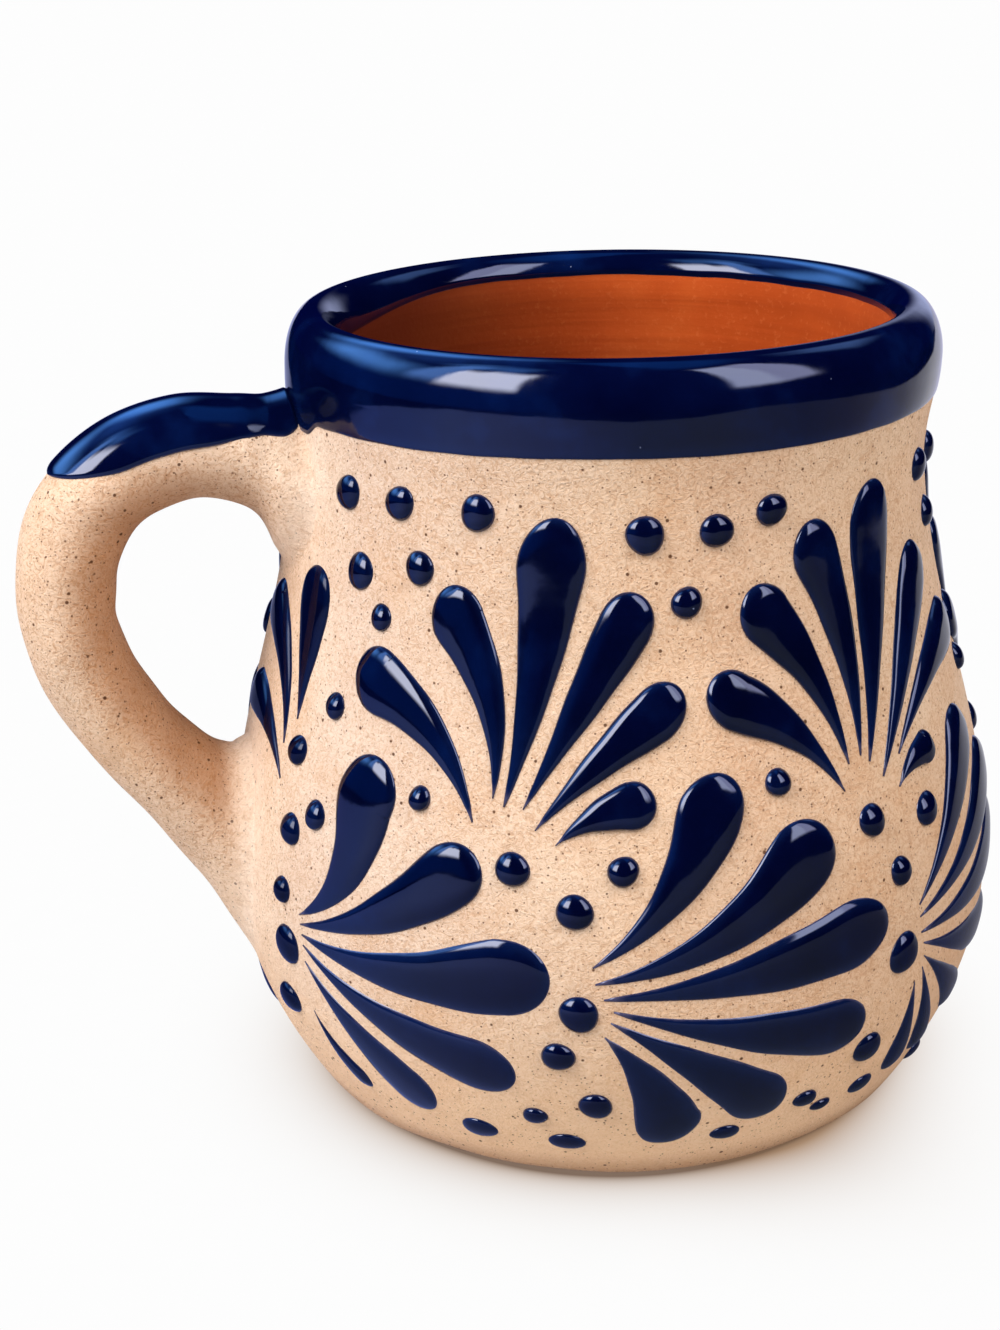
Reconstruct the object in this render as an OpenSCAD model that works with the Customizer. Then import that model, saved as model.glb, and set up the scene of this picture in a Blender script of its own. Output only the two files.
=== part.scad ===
// Jarrito mug: a round-bellied clay mug with a pulled loop handle, a dipped blue rim and
// raised glaze plumes and dots trailed on a sand-coloured slip.
// Millimetres. Z is up, the flat base rests on Z = 0 and the handle points towards -X.
// Turn angles go round the wall from -Y towards +X, so the handle lies at a turn of -90.

/* [Body] */
// Height from the table to the crest of the glazed rim
body_h = 100; // [90:1:120]
// Radius of the clay at the table, before its edge is rounded
base_r = 38.5; // [34:0.5:42]
// Radius that rounds the bottom edge
base_round = 2.4; // [1.2:0.2:4]
// Greatest radius of the clay belly
belly_r = 48.8; // [45:0.2:54]
// Height of the widest ring of the belly
belly_z = 28; // [24:1:34]
// Smallest radius of the clay neck
neck_r = 38.95; // [36:0.05:43]
// Depth of the narrowest ring of the neck below the rim's crest
neck_drop = 16; // [14:1:22]
// Thickness of the clay wall
wall_t = 5.2; // [4:0.1:7]
// Thickness of the clay floor
floor_t = 7; // [5:0.5:10]
// Radius that rounds the inside corner above the floor
floor_round = 11; // [6:1:16]

/* [Rim] */
// How far the rolled rim stands proud of the neck
rim_roll = 0.7; // [0.2:0.1:2]
// Height of the rounded top of the rim
rim_round_h = 5.9; // [4:0.1:8]

/* [Coats] */
// Thickness of the sand-coloured slip on the outside
slip_t = 0.4; // [0.2:0.05:0.8]
// Height above the table where the slip stops
slip_foot = 1.2; // [0.6:0.1:3]
// Thickness of the blue glaze
glaze_t = 0.55; // [0.3:0.05:0.9]
// Height of the blue band on the outside of the rim
band_h = 10; // [7:0.5:13]
// Height of the blue glaze on the inside of the rim
lip_h = 3.2; // [2:0.1:5]

/* [Handle] */
// How far the middle of the handle coil stands out from the wall
handle_reach = 26.6; // [23:0.2:34]
// Depth of the handle's highest section below the rim's crest
handle_drop = 15; // [14:0.5:20]
// Height of the middle of the handle's lower joint above the table
handle_low_z = 32.5; // [30:0.5:36]
// Thickness of the handle coil, measured across its loop
coil_t = 12.2; // [10:0.2:15]
// Width of the handle coil, seen from its outside
coil_w = 13; // [10:0.2:16]
// Thickness of the clay where the handle is smoothed into the wall
feather_t = 0.3; // [0.15:0.05:0.6]
// Height of the dipped glaze edge above the handle's highest section, where it leaves the rim
dip_rise = 2; // [0:0.5:4]
// How far that glaze edge falls over the reach of the handle
dip_fall = 3.6; // [0:0.2:6]

/* [Relief] */
// Width of the broadest common petal
petal_w = 8; // [6:0.2:9]
// Height of a petal's dome above the slip
petal_h = 1.3; // [0.8:0.1:1.8]
// Width of a common dot
dot_w = 4; // [3:0.1:4.6]
// Height of a dot's dome above the slip
dot_h = 1.3; // [0.8:0.1:1.6]

/* [Fits] */
// Clearance under every coat, petal, dot and joint
seat_gap = 0.06; // [0.04:0.01:0.1]

/* [Hidden] */

TERRACOTTA = [0.73, 0.37, 0.20];
SAND = [0.88, 0.76, 0.61];
COBALT = [0.04, 0.07, 0.25];

$fn = 96;
// Steps of the wall's outline, its inside, its rounded edges and the rolled rim
wall_steps = 27;
inside_steps = 20;
edge_steps = 5;
rim_steps = 12;
// Sections and sides of the handle, and rings that close its ends on the wall
handle_sections = 36;
handle_sides = 20;
cap_rings = 3;
// Sections and sides of the glaze on the handle
dip_sections = 22;
dip_sides = 12;
// Sections of a petal
petal_sections = 9;

// Power of the curve that draws the belly in to the base
belly_power = 2.1;
// Crowding of the handle's sections towards its two joints
crowd_share = 0.75;
// Powers of the curve that swells a petal from its stem to its widest place, and the width of
// the stem's tip
swell_power = 1.45;
round_power = 1.3;
stem_share = 0.07;
// Power that lowers a petal's dome where it is narrow, where its shoulder lies and how high,
// and how high the point of its stem stands
dome_power = 0.6;
shoulder_share = 0.66;
shoulder_h_share = 0.78;
tip_h_share = 0.5;
// Power that crowds a petal's sections towards its round end
section_power = 1.5;
// How much of its full thickness a dipped coat keeps at its edge, the power of the curve that
// thins it, and how many halvings find where the dipped edge ends
edge_share = 0.35;
edge_power = 4;
dip_tries = 12;
// How much of a section the glaze on the handle starts after the handle's joint
dip_start_share = 0.06;
// Steps along the handle and round its section between which its slope is taken
place_step = 0.05;
angle_step = 2;

clay_top = body_h - glaze_t;
neck_z = body_h - neck_drop;
handle_z = body_h - handle_drop;
dip_z = handle_z + dip_rise;
rim_z = clay_top - rim_round_h;
rim_r = neck_r + rim_roll;
throat_r = neck_r - wall_t;
rim_mid_r = (rim_r + throat_r) / 2;
rim_half_w = (rim_r - throat_r) / 2;
band_z = body_h - band_h;
lip_z = body_h - lip_h;
coat_t = max(slip_t, glaze_t);

// Each section of the handle, from its joint at the neck to its joint on the belly: how far
// out its middle stands and how high it lies, the lean of its thickness in degrees, its
// thickness and its width, as shares of the sizes above.
handle_shares = [
    [0.04, 0.905, 95, 2.00, 1.72], [0.12, 0.941, 90, 1.42, 1.24], [0.25, 0.981, 85, 1.11, 1.04],
    [0.49, 1.000, 76, 1.03, 1.00], [0.74, 0.964, 64, 1.04, 1.00], [0.92, 0.884, 48, 1.05, 1.00],
    [1.00, 0.779, 32, 1.04, 1.00], [0.99, 0.657, 10, 0.99, 1.00], [0.90, 0.539, -8, 0.98, 1.00],
    [0.73, 0.415, -27, 0.95, 1.00], [0.52, 0.299, -43, 0.96, 1.00], [0.30, 0.190, -60, 1.09, 1.03],
    [0.13, 0.105, -75, 1.43, 1.12], [0.01, 0.040, -86, 1.95, 1.32], [-0.08, 0.000, -91, 2.46, 1.60]
];

// Where each stem of the pattern stands round the wall, in degrees of turn
column_turns = [-67, -19, 30, 86, 137, 188, 240];

// Petals of a plume: turn and height of the stem's tip, turn and height of the widest place,
// its width, the sideways bow and the length of the rounded end. Turns are degrees from the
// column, and the rest are shares of the body's height, the petal width and its own length.
upper_side_shares = [
    [-3.4, 0.546, -4.4, 0.690, 0.90, 0.00, 1.05], [-6.2, 0.510, -20.0, 0.648, 0.78, -0.13, 1.10],
    [-5.3, 0.469, -22.2, 0.535, 0.68, -0.12, 1.10]
];
upper_round_shares = [
    [-15.0, 0.491, -33.3, 0.623, 0.93, -0.13, 1.13], [-12.2, 0.520, -19.8, 0.707, 0.86, -0.10, 1.18],
    [-10.5, 0.512, -4.7, 0.771, 1.01, -0.02, 1.48], [-7.7, 0.511, 6.9, 0.709, 0.83, 0.01, 1.23],
    [-5.9, 0.489, 11.1, 0.612, 0.76, 0.04, 1.43], [-3.0, 0.474, 7.8, 0.518, 0.68, 0.08, 0.93]
];
upper_tall_shares = [
    [-8.9, 0.500, -25.2, 0.620, 0.83, -0.09, 1.18], [-7.4, 0.528, -18.9, 0.707, 0.83, -0.08, 1.18],
    [-4.9, 0.533, -8.7, 0.765, 0.85, -0.07, 1.23], [-3.3, 0.523, 4.5, 0.786, 0.96, -0.03, 1.28],
    [-1.0, 0.501, 16.7, 0.701, 0.84, 0.01, 1.30], [3.3, 0.518, 26.5, 0.619, 0.80, 0.08, 1.20],
    [2.1, 0.482, 10.0, 0.510, 0.51, 0.10, 1.00]
];
upper_back_shares = [
    [-9.0, 0.499, -18.2, 0.607, 0.74, -0.12, 1.10], [-7.4, 0.526, -15.2, 0.698, 0.78, -0.09, 1.10],
    [-4.9, 0.533, -6.9, 0.768, 0.84, -0.05, 1.15], [-2.5, 0.525, 6.2, 0.774, 0.88, 0.01, 1.20],
    [0.5, 0.505, 15.5, 0.694, 0.84, 0.06, 1.20], [2.6, 0.498, 20.0, 0.602, 0.78, 0.10, 1.15],
    [1.5, 0.474, 9.2, 0.502, 0.50, 0.08, 1.00]
];
upper_handle_shares = [
    [-9.0, 0.500, -19.5, 0.604, 0.80, -0.12, 1.10], [-7.4, 0.526, -15.5, 0.698, 0.82, -0.09, 1.10],
    [-4.9, 0.533, -6.9, 0.768, 0.84, -0.05, 1.15], [-2.5, 0.528, 5.4, 0.772, 0.84, 0.01, 1.20],
    [0.7, 0.520, 11.4, 0.680, 0.74, 0.05, 1.20], [1.9, 0.510, 14.0, 0.590, 0.70, 0.10, 1.10]
];
lower_round_shares = [
    [3.4, 0.322, 14.7, 0.489, 1.12, -0.15, 1.23], [3.6, 0.310, 30.0, 0.427, 0.98, -0.06, 1.08],
    [3.9, 0.297, 37.4, 0.316, 1.18, -0.04, 1.28], [4.1, 0.284, 33.5, 0.194, 0.98, -0.03, 1.28],
    [4.3, 0.263, 20.9, 0.132, 0.88, 0.00, 1.23], [4.1, 0.192, 10.5, 0.116, 0.34, -0.06, 1.60]
];
lower_broad_shares = [
    [2.1, 0.336, 18.5, 0.503, 0.97, -0.08, 1.23], [2.4, 0.316, 31.5, 0.437, 1.08, -0.07, 1.13],
    [3.5, 0.297, 38.9, 0.332, 1.09, -0.01, 1.38], [4.8, 0.282, 37.1, 0.217, 0.99, -0.02, 1.20],
    [4.4, 0.268, 25.2, 0.143, 0.97, 0.02, 1.38], [3.6, 0.249, 12.7, 0.116, 1.06, 0.06, 0.93]
];
lower_full_shares = [
    [3.8, 0.334, 22.1, 0.490, 0.95, -0.03, 1.10], [3.9, 0.318, 32.7, 0.418, 1.00, -0.04, 1.05],
    [4.2, 0.297, 38.0, 0.322, 1.10, -0.03, 1.20], [4.9, 0.281, 31.5, 0.215, 0.95, -0.02, 1.20],
    [5.2, 0.263, 20.3, 0.158, 0.66, 0.00, 1.20], [5.1, 0.248, 12.1, 0.122, 0.56, 0.00, 1.20],
    [3.6, 0.232, 5.2, 0.118, 0.59, 0.00, 1.10]
];
lower_handle_shares = [
    [1.9, 0.338, 8.2, 0.482, 0.78, -0.12, 1.15], [2.9, 0.312, 12.8, 0.394, 0.52, -0.04, 1.10],
    [3.4, 0.297, 12.6, 0.322, 0.60, -0.03, 1.20], [3.6, 0.279, 12.6, 0.238, 0.52, 0.00, 1.20],
    [2.8, 0.254, 29.0, 0.118, 0.72, -0.05, 1.10], [2.2, 0.240, 13.5, 0.112, 0.80, 0.03, 1.10],
    [0.6, 0.232, 2.0, 0.124, 0.66, 0.05, 1.00]
];

// Dots of a column: turn from the column in degrees, height and width as shares
side_dot_shares = [
    [3.7, 0.827, 1.05], [16.2, 0.829, 1.02], [31.1, 0.830, 1.05], [7.7, 0.740, 1.08],
    [20.6, 0.759, 0.98], [13.5, 0.695, 0.78], [6.0, 0.581, 0.78], [-1.5, 0.513, 0.92],
    [5.4, 0.451, 0.88], [-0.2, 0.420, 0.98], [24.5, 0.507, 0.72], [-1.1, 0.341, 0.82],
    [0.0, 0.272, 1.25], [-2.5, 0.187, 1.10], [31.7, 0.085, 1.20]
];
round_dot_shares = [
    [10.3, 0.810, 1.10], [22.0, 0.810, 0.98], [31.6, 0.826, 0.95], [16.8, 0.733, 0.90],
    [29.1, 0.527, 0.80], [-8.9, 0.444, 1.00], [-0.3, 0.400, 1.05], [6.2, 0.446, 0.88],
    [0.2, 0.278, 1.15], [-2.7, 0.220, 0.98], [2.2, 0.146, 1.00], [-6.7, 0.124, 0.80],
    [-2.4, 0.080, 1.10], [22.2, 0.083, 0.95], [34.9, 0.112, 0.85], [38.9, 0.089, 0.72]
];
tall_dot_shares = [
    [24.4, 0.822, 1.05], [35.5, 0.825, 1.00], [29.8, 0.755, 0.95], [34.8, 0.560, 0.85],
    [-4.6, 0.458, 0.98], [7.7, 0.442, 1.02], [0.0, 0.387, 0.88], [0.2, 0.283, 1.30],
    [-4.4, 0.164, 1.10], [-1.8, 0.095, 1.05], [17.0, 0.075, 1.00], [31.0, 0.098, 0.95]
];
back_dot_shares = [
    [15.0, 0.822, 1.00], [26.0, 0.825, 1.05], [37.0, 0.822, 0.98], [20.5, 0.752, 0.92],
    [31.5, 0.752, 0.95], [26.0, 0.690, 0.78], [25.7, 0.535, 0.82], [-8.9, 0.444, 1.00],
    [-0.3, 0.400, 1.05], [6.2, 0.446, 0.88], [0.2, 0.278, 1.15], [-2.7, 0.220, 0.98],
    [2.2, 0.146, 1.00], [-6.7, 0.124, 0.80], [-2.4, 0.080, 1.10], [22.2, 0.083, 0.95],
    [34.9, 0.112, 0.85], [38.9, 0.089, 0.72]
];
handle_dot_shares = [
    [-8.9, 0.444, 1.00], [-1.5, 0.400, 1.05], [0.2, 0.282, 1.15], [-5.2, 0.200, 0.98],
    [-7.0, 0.120, 0.95], [9.6, 0.838, 0.85], [5.0, 0.072, 0.90], [21.0, 0.080, 1.00]
];

// Which plumes and dots each column carries
upper_tables = [
    upper_side_shares, upper_round_shares, upper_tall_shares, upper_back_shares,
    upper_back_shares, upper_back_shares, upper_handle_shares
];
lower_tables = [
    lower_round_shares, lower_broad_shares, lower_full_shares, lower_broad_shares,
    lower_broad_shares, lower_broad_shares, lower_handle_shares
];
dot_tables = [
    side_dot_shares, round_dot_shares, tall_dot_shares, back_dot_shares,
    back_dot_shares, back_dot_shares, handle_dot_shares
];
// Heights that divide the dots into the rows of the foot, roots, waist and neck
dot_rows_shares = [0, 0.25, 0.30, 0.62, 1];

// How far x has gone from a to b, from 0 to 1
function part_way(x, a, b) = min(1, max(0, (x - a) / (b - a)));

// Smooth step from 0 to 1
function ease(x) = (1 - cos(180 * x)) / 2;

// Drop of a quarter-round edge of radius r at a distance x from where it starts
function round_drop(x, r) = x < r ? r - sqrt(max(0, r * r - (r - x) * (r - x))) : 0;

// Radius of the outside of the clay at a height
function belly_curve(z) = belly_r - (belly_r - base_r) * pow(1 - z / belly_z, belly_power);
function clay_r(z) =
    z < belly_z ? belly_curve(max(0, z)) - round_drop(max(0, z), base_round)
    : z < neck_z ? neck_r + (belly_r - neck_r) * ease(part_way(z, neck_z, belly_z))
    : neck_r + rim_roll * ease(part_way(z, neck_z, rim_z));

// Radius of the outside of the slip, and the slope of the wall in degrees
function skin_r(z) = clay_r(z) + slip_t;
function wall_slope(z) = atan((clay_r(z + slip_t) - clay_r(z - slip_t)) / (2 * slip_t));

// Radius of the inside of the clay at a height
function inside_r(z) = clay_r(min(z, neck_z)) - wall_t - round_drop(z - floor_t, floor_round);

// Heights of the outline between two levels, and along a rounded edge
function levels(a, b, steps) = [for (i = [0:steps]) a + (b - a) * i / steps];
function edge_levels(r) = [for (i = [0:edge_steps - 1]) r * (1 - cos(90 * i / edge_steps))];

// Outline of the wall at a distance outside the clay
function wall_path(heights, out) = [for (z = heights) [clay_r(z) + out, z]];

// Rounded top of the rim at a distance outside the clay, from its outside to an end angle
function rim_path(out, end_angle) = [
    for (i = [0:rim_steps])
        let (a = end_angle * i / rim_steps)
            [rim_mid_r + (rim_half_w + out) * cos(a), rim_z + (rim_round_h + out) * sin(a)]
];

// Places on the wall in space, from a turn, a radius and a height
function at_turn(turn, r, z) = [r * sin(turn), -r * cos(turn), z];

// Points with the order of a list turned round
function backwards(list) = [for (i = [len(list) - 1:-1:0]) list[i]];

// A row between the rows of a table, on a smooth curve through them
function row_at(rows, i) =
    i < 0 ? 2 * rows[0] - rows[1]
    : i >= len(rows) ? 2 * rows[len(rows) - 1] - rows[len(rows) - 2]
    : rows[i];
function smooth_row(rows, t) =
    let (
        i = min(floor(t), len(rows) - 2),
        u = t - i,
        a = row_at(rows, i - 1),
        b = row_at(rows, i),
        c = row_at(rows, i + 1),
        d = row_at(rows, i + 2)
    )
        (2 * b + (c - a) * u + (2 * a - 5 * b + 4 * c - d) * u * u
            + (3 * b - a - 3 * c + d) * u * u * u) / 2;

// Faces between rings of points, where the first ring starts at a place in the list of points
function ring_faces(count, sides, start) = [
    for (i = [0:count - 2], j = [0:sides - 1], half = [0, 1])
        let (a = start + i * sides + j, b = start + i * sides + (j + 1) % sides)
            half == 0 ? [a, a + sides, b] : [b, a + sides, b + sides]
];

// Faces from a ring to one point that closes it
function end_faces(sides, start, point) = [
    for (j = [0:sides - 1]) [point, start + (j + 1) % sides, start + j]
];

// A closed skin over rings of points, with one point at each end
module lofted(rings, first, last) {
    sides = len(rings[0]);
    points = concat([first], [for (ring = rings) each ring], [last]);
    end = len(points) - 1;
    polyhedron(
        points = points,
        faces = concat(
            [for (f = end_faces(sides, 1, 0)) backwards(f)],
            ring_faces(len(rings), sides, 1),
            end_faces(sides, end - sides, end)
        )
    );
}

// A closed skin over flat rings, each an outer row of points and the inner row back. Its start
// is closed from row to row and its end runs to one point.
module coated(rings, last) {
    sides = len(rings[0]);
    points = concat([for (ring = rings) each ring], [last]);
    end = len(points) - 1;
    polyhedron(
        points = points,
        faces = concat(
            [for (j = [0:sides / 2 - 2], half = [0, 1])
                half == 0 ? [j, j + 1, sides - 2 - j] : [j, sides - 2 - j, sides - 1 - j]],
            ring_faces(len(rings), sides, 0),
            end_faces(sides, end - sides, end)
        )
    );
}

// Clay wall and floor, turned on the wheel: rounded foot, belly, neck, rolled rim and throat
module clay_body() {
    floor_top = floor_t + floor_round;
    outside = concat(
        wall_path(edge_levels(base_round), 0),
        wall_path(levels(base_round, rim_z, wall_steps), 0)
    );
    inside = concat(
        [for (z = levels(neck_z, floor_top, inside_steps)) [inside_r(z), z]],
        [for (h = backwards(edge_levels(floor_round))) [inside_r(floor_t + h), floor_t + h]]
    );
    color(TERRACOTTA)
        rotate_extrude()
            polygon(concat([[0, 0]], outside, rim_path(0, 180), inside, [[0, floor_t]]));
}

// Sand-coloured slip on the outside, from just above the foot to the blue band
module sand_slip() {
    top = band_z - seat_gap;
    heights = concat(
        [slip_foot],
        [for (z = levels(base_round, rim_z, wall_steps)) if (z > slip_foot && z < top) z],
        [top]
    );
    color(SAND)
        rotate_extrude()
            polygon(concat(wall_path(heights, slip_t), backwards(wall_path(heights, seat_gap))));
}

// Blue glaze that the rim was dipped in, outside, over the crest and just inside
module rim_glaze() {
    heights = concat([band_z], [for (z = levels(base_round, rim_z, wall_steps)) if (z > band_z) z]);
    lip_angle = 180 - asin(part_way(lip_z, rim_z, clay_top));
    throat_end = min(lip_z, rim_z);
    color(COBALT)
        rotate_extrude()
            polygon(concat(
                wall_path(heights, glaze_t),
                rim_path(glaze_t, lip_angle),
                [if (lip_z < rim_z) [throat_r - glaze_t, throat_end]],
                [if (lip_z < rim_z) [throat_r - seat_gap, throat_end]],
                backwards(rim_path(seat_gap, lip_angle)),
                backwards(wall_path(heights, seat_gap))
            ));
}

// Radius of the seat that the handle is pressed on
function seat_r(z) = skin_r(z) + coat_t - slip_t + seat_gap;

// Place along the handle's table for a share of its length, crowded towards the joints
function handle_place(share) =
    (len(handle_shares) - 1) * (share - crowd_share * sin(360 * share) / 360 * 180 / PI);

// Point of the handle's skin, at a place along it and an angle round its section. A spread
// below 1 draws it in to close the joint on the wall.
function handle_point(place, angle, spread) =
    let (
        row = smooth_row(handle_shares, place),
        mid_z = handle_low_z + (handle_z - handle_low_z) * row[1],
        half_t = coil_t * row[3] / 2 * spread,
        x = skin_r(mid_z) + handle_reach * row[0] + half_t * cos(angle) * cos(row[2]),
        y = coil_w * row[4] / 2 * sin(angle) * spread,
        z = mid_z + half_t * cos(angle) * sin(row[2]),
        from_end = min(1, place, len(handle_shares) - 1 - place),
        wall_x = sqrt(max(0, pow(seat_r(z) + feather_t * ease(from_end), 2) - y * y))
    )
        [-(from_end > 0 ? max(x, wall_x) : wall_x), -y, z];

// Point at a distance outside the handle's skin
function coat_point(place, angle, out) =
    let (
        along = handle_point(place + place_step, angle, 1)
            - handle_point(max(0, place - place_step), angle, 1),
        round = handle_point(place, angle + angle_step, 1)
            - handle_point(place, angle - angle_step, 1),
        square = cross(along, round)
    )
        handle_point(place, angle, 1) + out * square / norm(square);

// Pulled handle: a round coil that flares where it is smoothed into the neck and the belly
module handle() {
    last_place = len(handle_shares) - 1;
    angles = [for (j = [0:handle_sides - 1]) -360 * j / handle_sides];
    start_cap = [for (k = [1:cap_rings - 1])
        [for (a = angles) handle_point(0, a, k / cap_rings)]];
    loop = [for (i = [0:handle_sections])
        [for (a = angles) handle_point(handle_place(i / handle_sections), a, 1)]];
    end_cap = [for (k = [1:cap_rings - 1])
        [for (a = angles) handle_point(last_place, a, 1 - k / cap_rings)]];
    color(SAND)
        lofted(
            concat(start_cap, loop, end_cap),
            handle_point(0, 0, 0),
            handle_point(last_place, 0, 0)
        );
}

// Height of the dipped edge on the handle at a distance out from the neck
function dip_edge(place) = dip_z - dip_fall * smooth_row(handle_shares, place)[0];

// Angle round the section down to the dipped edge, at a place along the handle
function dip_angle(place) =
    let (
        row = smooth_row(handle_shares, place),
        mid_z = handle_low_z + (handle_z - handle_low_z) * row[1],
        rise = coil_t * row[3] / 2 * sin(row[2])
    )
        acos(max(-1, min(1, (dip_edge(place) - mid_z) / rise)));

// Place along the handle where its outside sinks below the dipped edge
function dip_end(low, high, tries) =
    let (mid = (low + high) / 2)
        tries == 0 ? mid
        : dip_angle(mid) > 0 ? dip_end(mid, high, tries - 1)
        : dip_end(low, mid, tries - 1);

// Blue glaze on the top of the handle, dipped with the rim
module handle_glaze() {
    reach = dip_end(1, len(handle_shares) / 2, dip_tries);
    places = [for (i = [0:dip_sections - 1]) reach * (dip_start_share + i) / dip_sections];
    fade = [for (p = places) edge_share + (1 - edge_share) * sqrt(1 - pow(p / reach, edge_power))];
    rings = [for (i = [0:dip_sections - 1])
        let (p = places[i], w = dip_angle(p))
            concat(
                [for (j = [dip_sides:-1:0]) let (q = 2 * j / dip_sides - 1)
                    coat_point(p, w * q, seat_gap + (glaze_t - seat_gap) * fade[i]
                        * (edge_share + (1 - edge_share) * sqrt(1 - pow(q, edge_power))))],
                [for (j = [0:dip_sides]) let (q = 2 * j / dip_sides - 1)
                    coat_point(p, w * q, seat_gap)]
            )];
    color(COBALT)
        coated(rings, coat_point(reach, 0, (seat_gap + glaze_t * edge_share) / 2));
}

// Half width of a petal, as a share of its widest, at a share of its length
function petal_swell(share, widest_share) =
    let (
        t = min(1, share / widest_share),
        beyond = part_way(share, widest_share, 1)
    )
        (stem_share + (1 - stem_share) * pow(1 - pow(1 - t, round_power), swell_power))
            * sqrt(1 - beyond * beyond);

// One petal: a drop of glaze with a thin stem and a domed head, laid on the slip
module petal(row, column) {
    half_w = petal_w * row[4] / 2;
    mid_r = skin_r(body_h * (row[1] + row[3]) / 2);
    tip = [mid_r * PI / 180 * (column + row[0]), body_h * row[1]];
    widest = [mid_r * PI / 180 * (column + row[2]), body_h * row[3]];
    run = norm(widest - tip);
    along = (widest - tip) / run;
    aside = [-along[1], along[0]];
    length = run + half_w * row[6];
    widest_share = run / length;
    shares = [for (i = [0:petal_sections])
        1 - pow(1 - i / (petal_sections + 1), section_power)];
    function middle(s) = let (t = min(1, s / widest_share))
        tip + along * s * length + aside * row[5] * run * 4 * t * (1 - t);
    function spot(s, q, h) =
        let (
            step = stem_share / 2,
            way = middle(min(1, s + step)) - middle(max(0, s - step)),
            side = [-way[1], way[0]] / norm(way),
            flat = middle(s) + side * q * half_w * petal_swell(s, widest_share),
            swell = pow(petal_swell(s, widest_share), dome_power)
        )
            at_turn(flat[0] / mid_r * 180 / PI,
                skin_r(flat[1]) + seat_gap + h * petal_h * swell, flat[1]);
    rings = [for (s = shares) [
        spot(s, 1, 0), spot(s, shoulder_share, shoulder_h_share), spot(s, 0, 1),
        spot(s, -shoulder_share, shoulder_h_share), spot(s, -1, 0),
        spot(s, -shoulder_share / 2, 0), spot(s, shoulder_share / 2, 0)
    ]];
    lofted(rings, spot(0, 0, tip_h_share), spot(1, 0, 0));
}

// All the petals of one plume
module plume(table, column) {
    color(COBALT)
        for (row = table)
            petal(row, column_turns[column]);
}

// One dot: a round cap of glaze that stands square to the wall
module dot(turn, z, width) {
    ball_r = (width * width / 4 + dot_h * dot_h) / (2 * dot_h);
    place = at_turn(turn, skin_r(z) + seat_gap, z);
    translate(place)
        rotate([0, 0, turn - 90])
            rotate([0, 90 + wall_slope(z), 0])
                intersection() {
                    translate([0, 0, dot_h - ball_r])
                        sphere(r = ball_r);
                    cylinder(r = width, h = 2 * ball_r);
                }
}

// The dots of all columns that lie in one row of the wall
module dot_row(row) {
    color(COBALT)
        for (i = [0:len(column_turns) - 1], d = dot_tables[i])
            if (d[1] > dot_rows_shares[row] && d[1] <= dot_rows_shares[row + 1])
                dot(column_turns[i] + d[0], body_h * d[1], dot_w * d[2]);
}

module upper_plume_1() plume(upper_tables[0], 0);
module upper_plume_2() plume(upper_tables[1], 1);
module upper_plume_3() plume(upper_tables[2], 2);
module upper_plume_4() plume(upper_tables[3], 3);
module upper_plume_5() plume(upper_tables[4], 4);
module upper_plume_6() plume(upper_tables[5], 5);
module upper_plume_7() plume(upper_tables[6], 6);
module lower_plume_1() plume(lower_tables[0], 0);
module lower_plume_2() plume(lower_tables[1], 1);
module lower_plume_3() plume(lower_tables[2], 2);
module lower_plume_4() plume(lower_tables[3], 3);
module lower_plume_5() plume(lower_tables[4], 4);
module lower_plume_6() plume(lower_tables[5], 5);
module lower_plume_7() plume(lower_tables[6], 6);
module foot_dots() dot_row(0);
module root_dots() dot_row(1);
module waist_dots() dot_row(2);
module neck_dots() dot_row(3);

clay_body();
sand_slip();
rim_glaze();
handle();
handle_glaze();
upper_plume_1();
upper_plume_2();
upper_plume_3();
upper_plume_4();
upper_plume_5();
upper_plume_6();
upper_plume_7();
lower_plume_1();
lower_plume_2();
lower_plume_3();
lower_plume_4();
lower_plume_5();
lower_plume_6();
lower_plume_7();
neck_dots();
waist_dots();
root_dots();
foot_dots();
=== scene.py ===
import math
import random

import bpy
import numpy as np
from mathutils import Matrix, Vector

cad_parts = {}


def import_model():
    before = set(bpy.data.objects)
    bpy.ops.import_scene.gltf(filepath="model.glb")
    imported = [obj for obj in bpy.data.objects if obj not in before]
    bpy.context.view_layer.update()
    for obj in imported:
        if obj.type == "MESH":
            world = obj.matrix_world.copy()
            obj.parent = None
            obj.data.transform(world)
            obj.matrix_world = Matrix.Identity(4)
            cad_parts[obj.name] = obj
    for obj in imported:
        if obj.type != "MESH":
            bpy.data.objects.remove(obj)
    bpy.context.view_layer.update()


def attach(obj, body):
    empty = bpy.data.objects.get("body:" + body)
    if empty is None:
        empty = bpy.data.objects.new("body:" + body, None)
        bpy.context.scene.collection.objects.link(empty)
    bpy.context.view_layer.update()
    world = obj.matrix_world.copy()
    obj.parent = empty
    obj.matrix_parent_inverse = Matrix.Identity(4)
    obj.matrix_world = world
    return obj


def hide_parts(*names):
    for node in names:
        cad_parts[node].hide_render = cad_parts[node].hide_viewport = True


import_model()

MM = 0.001

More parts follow.
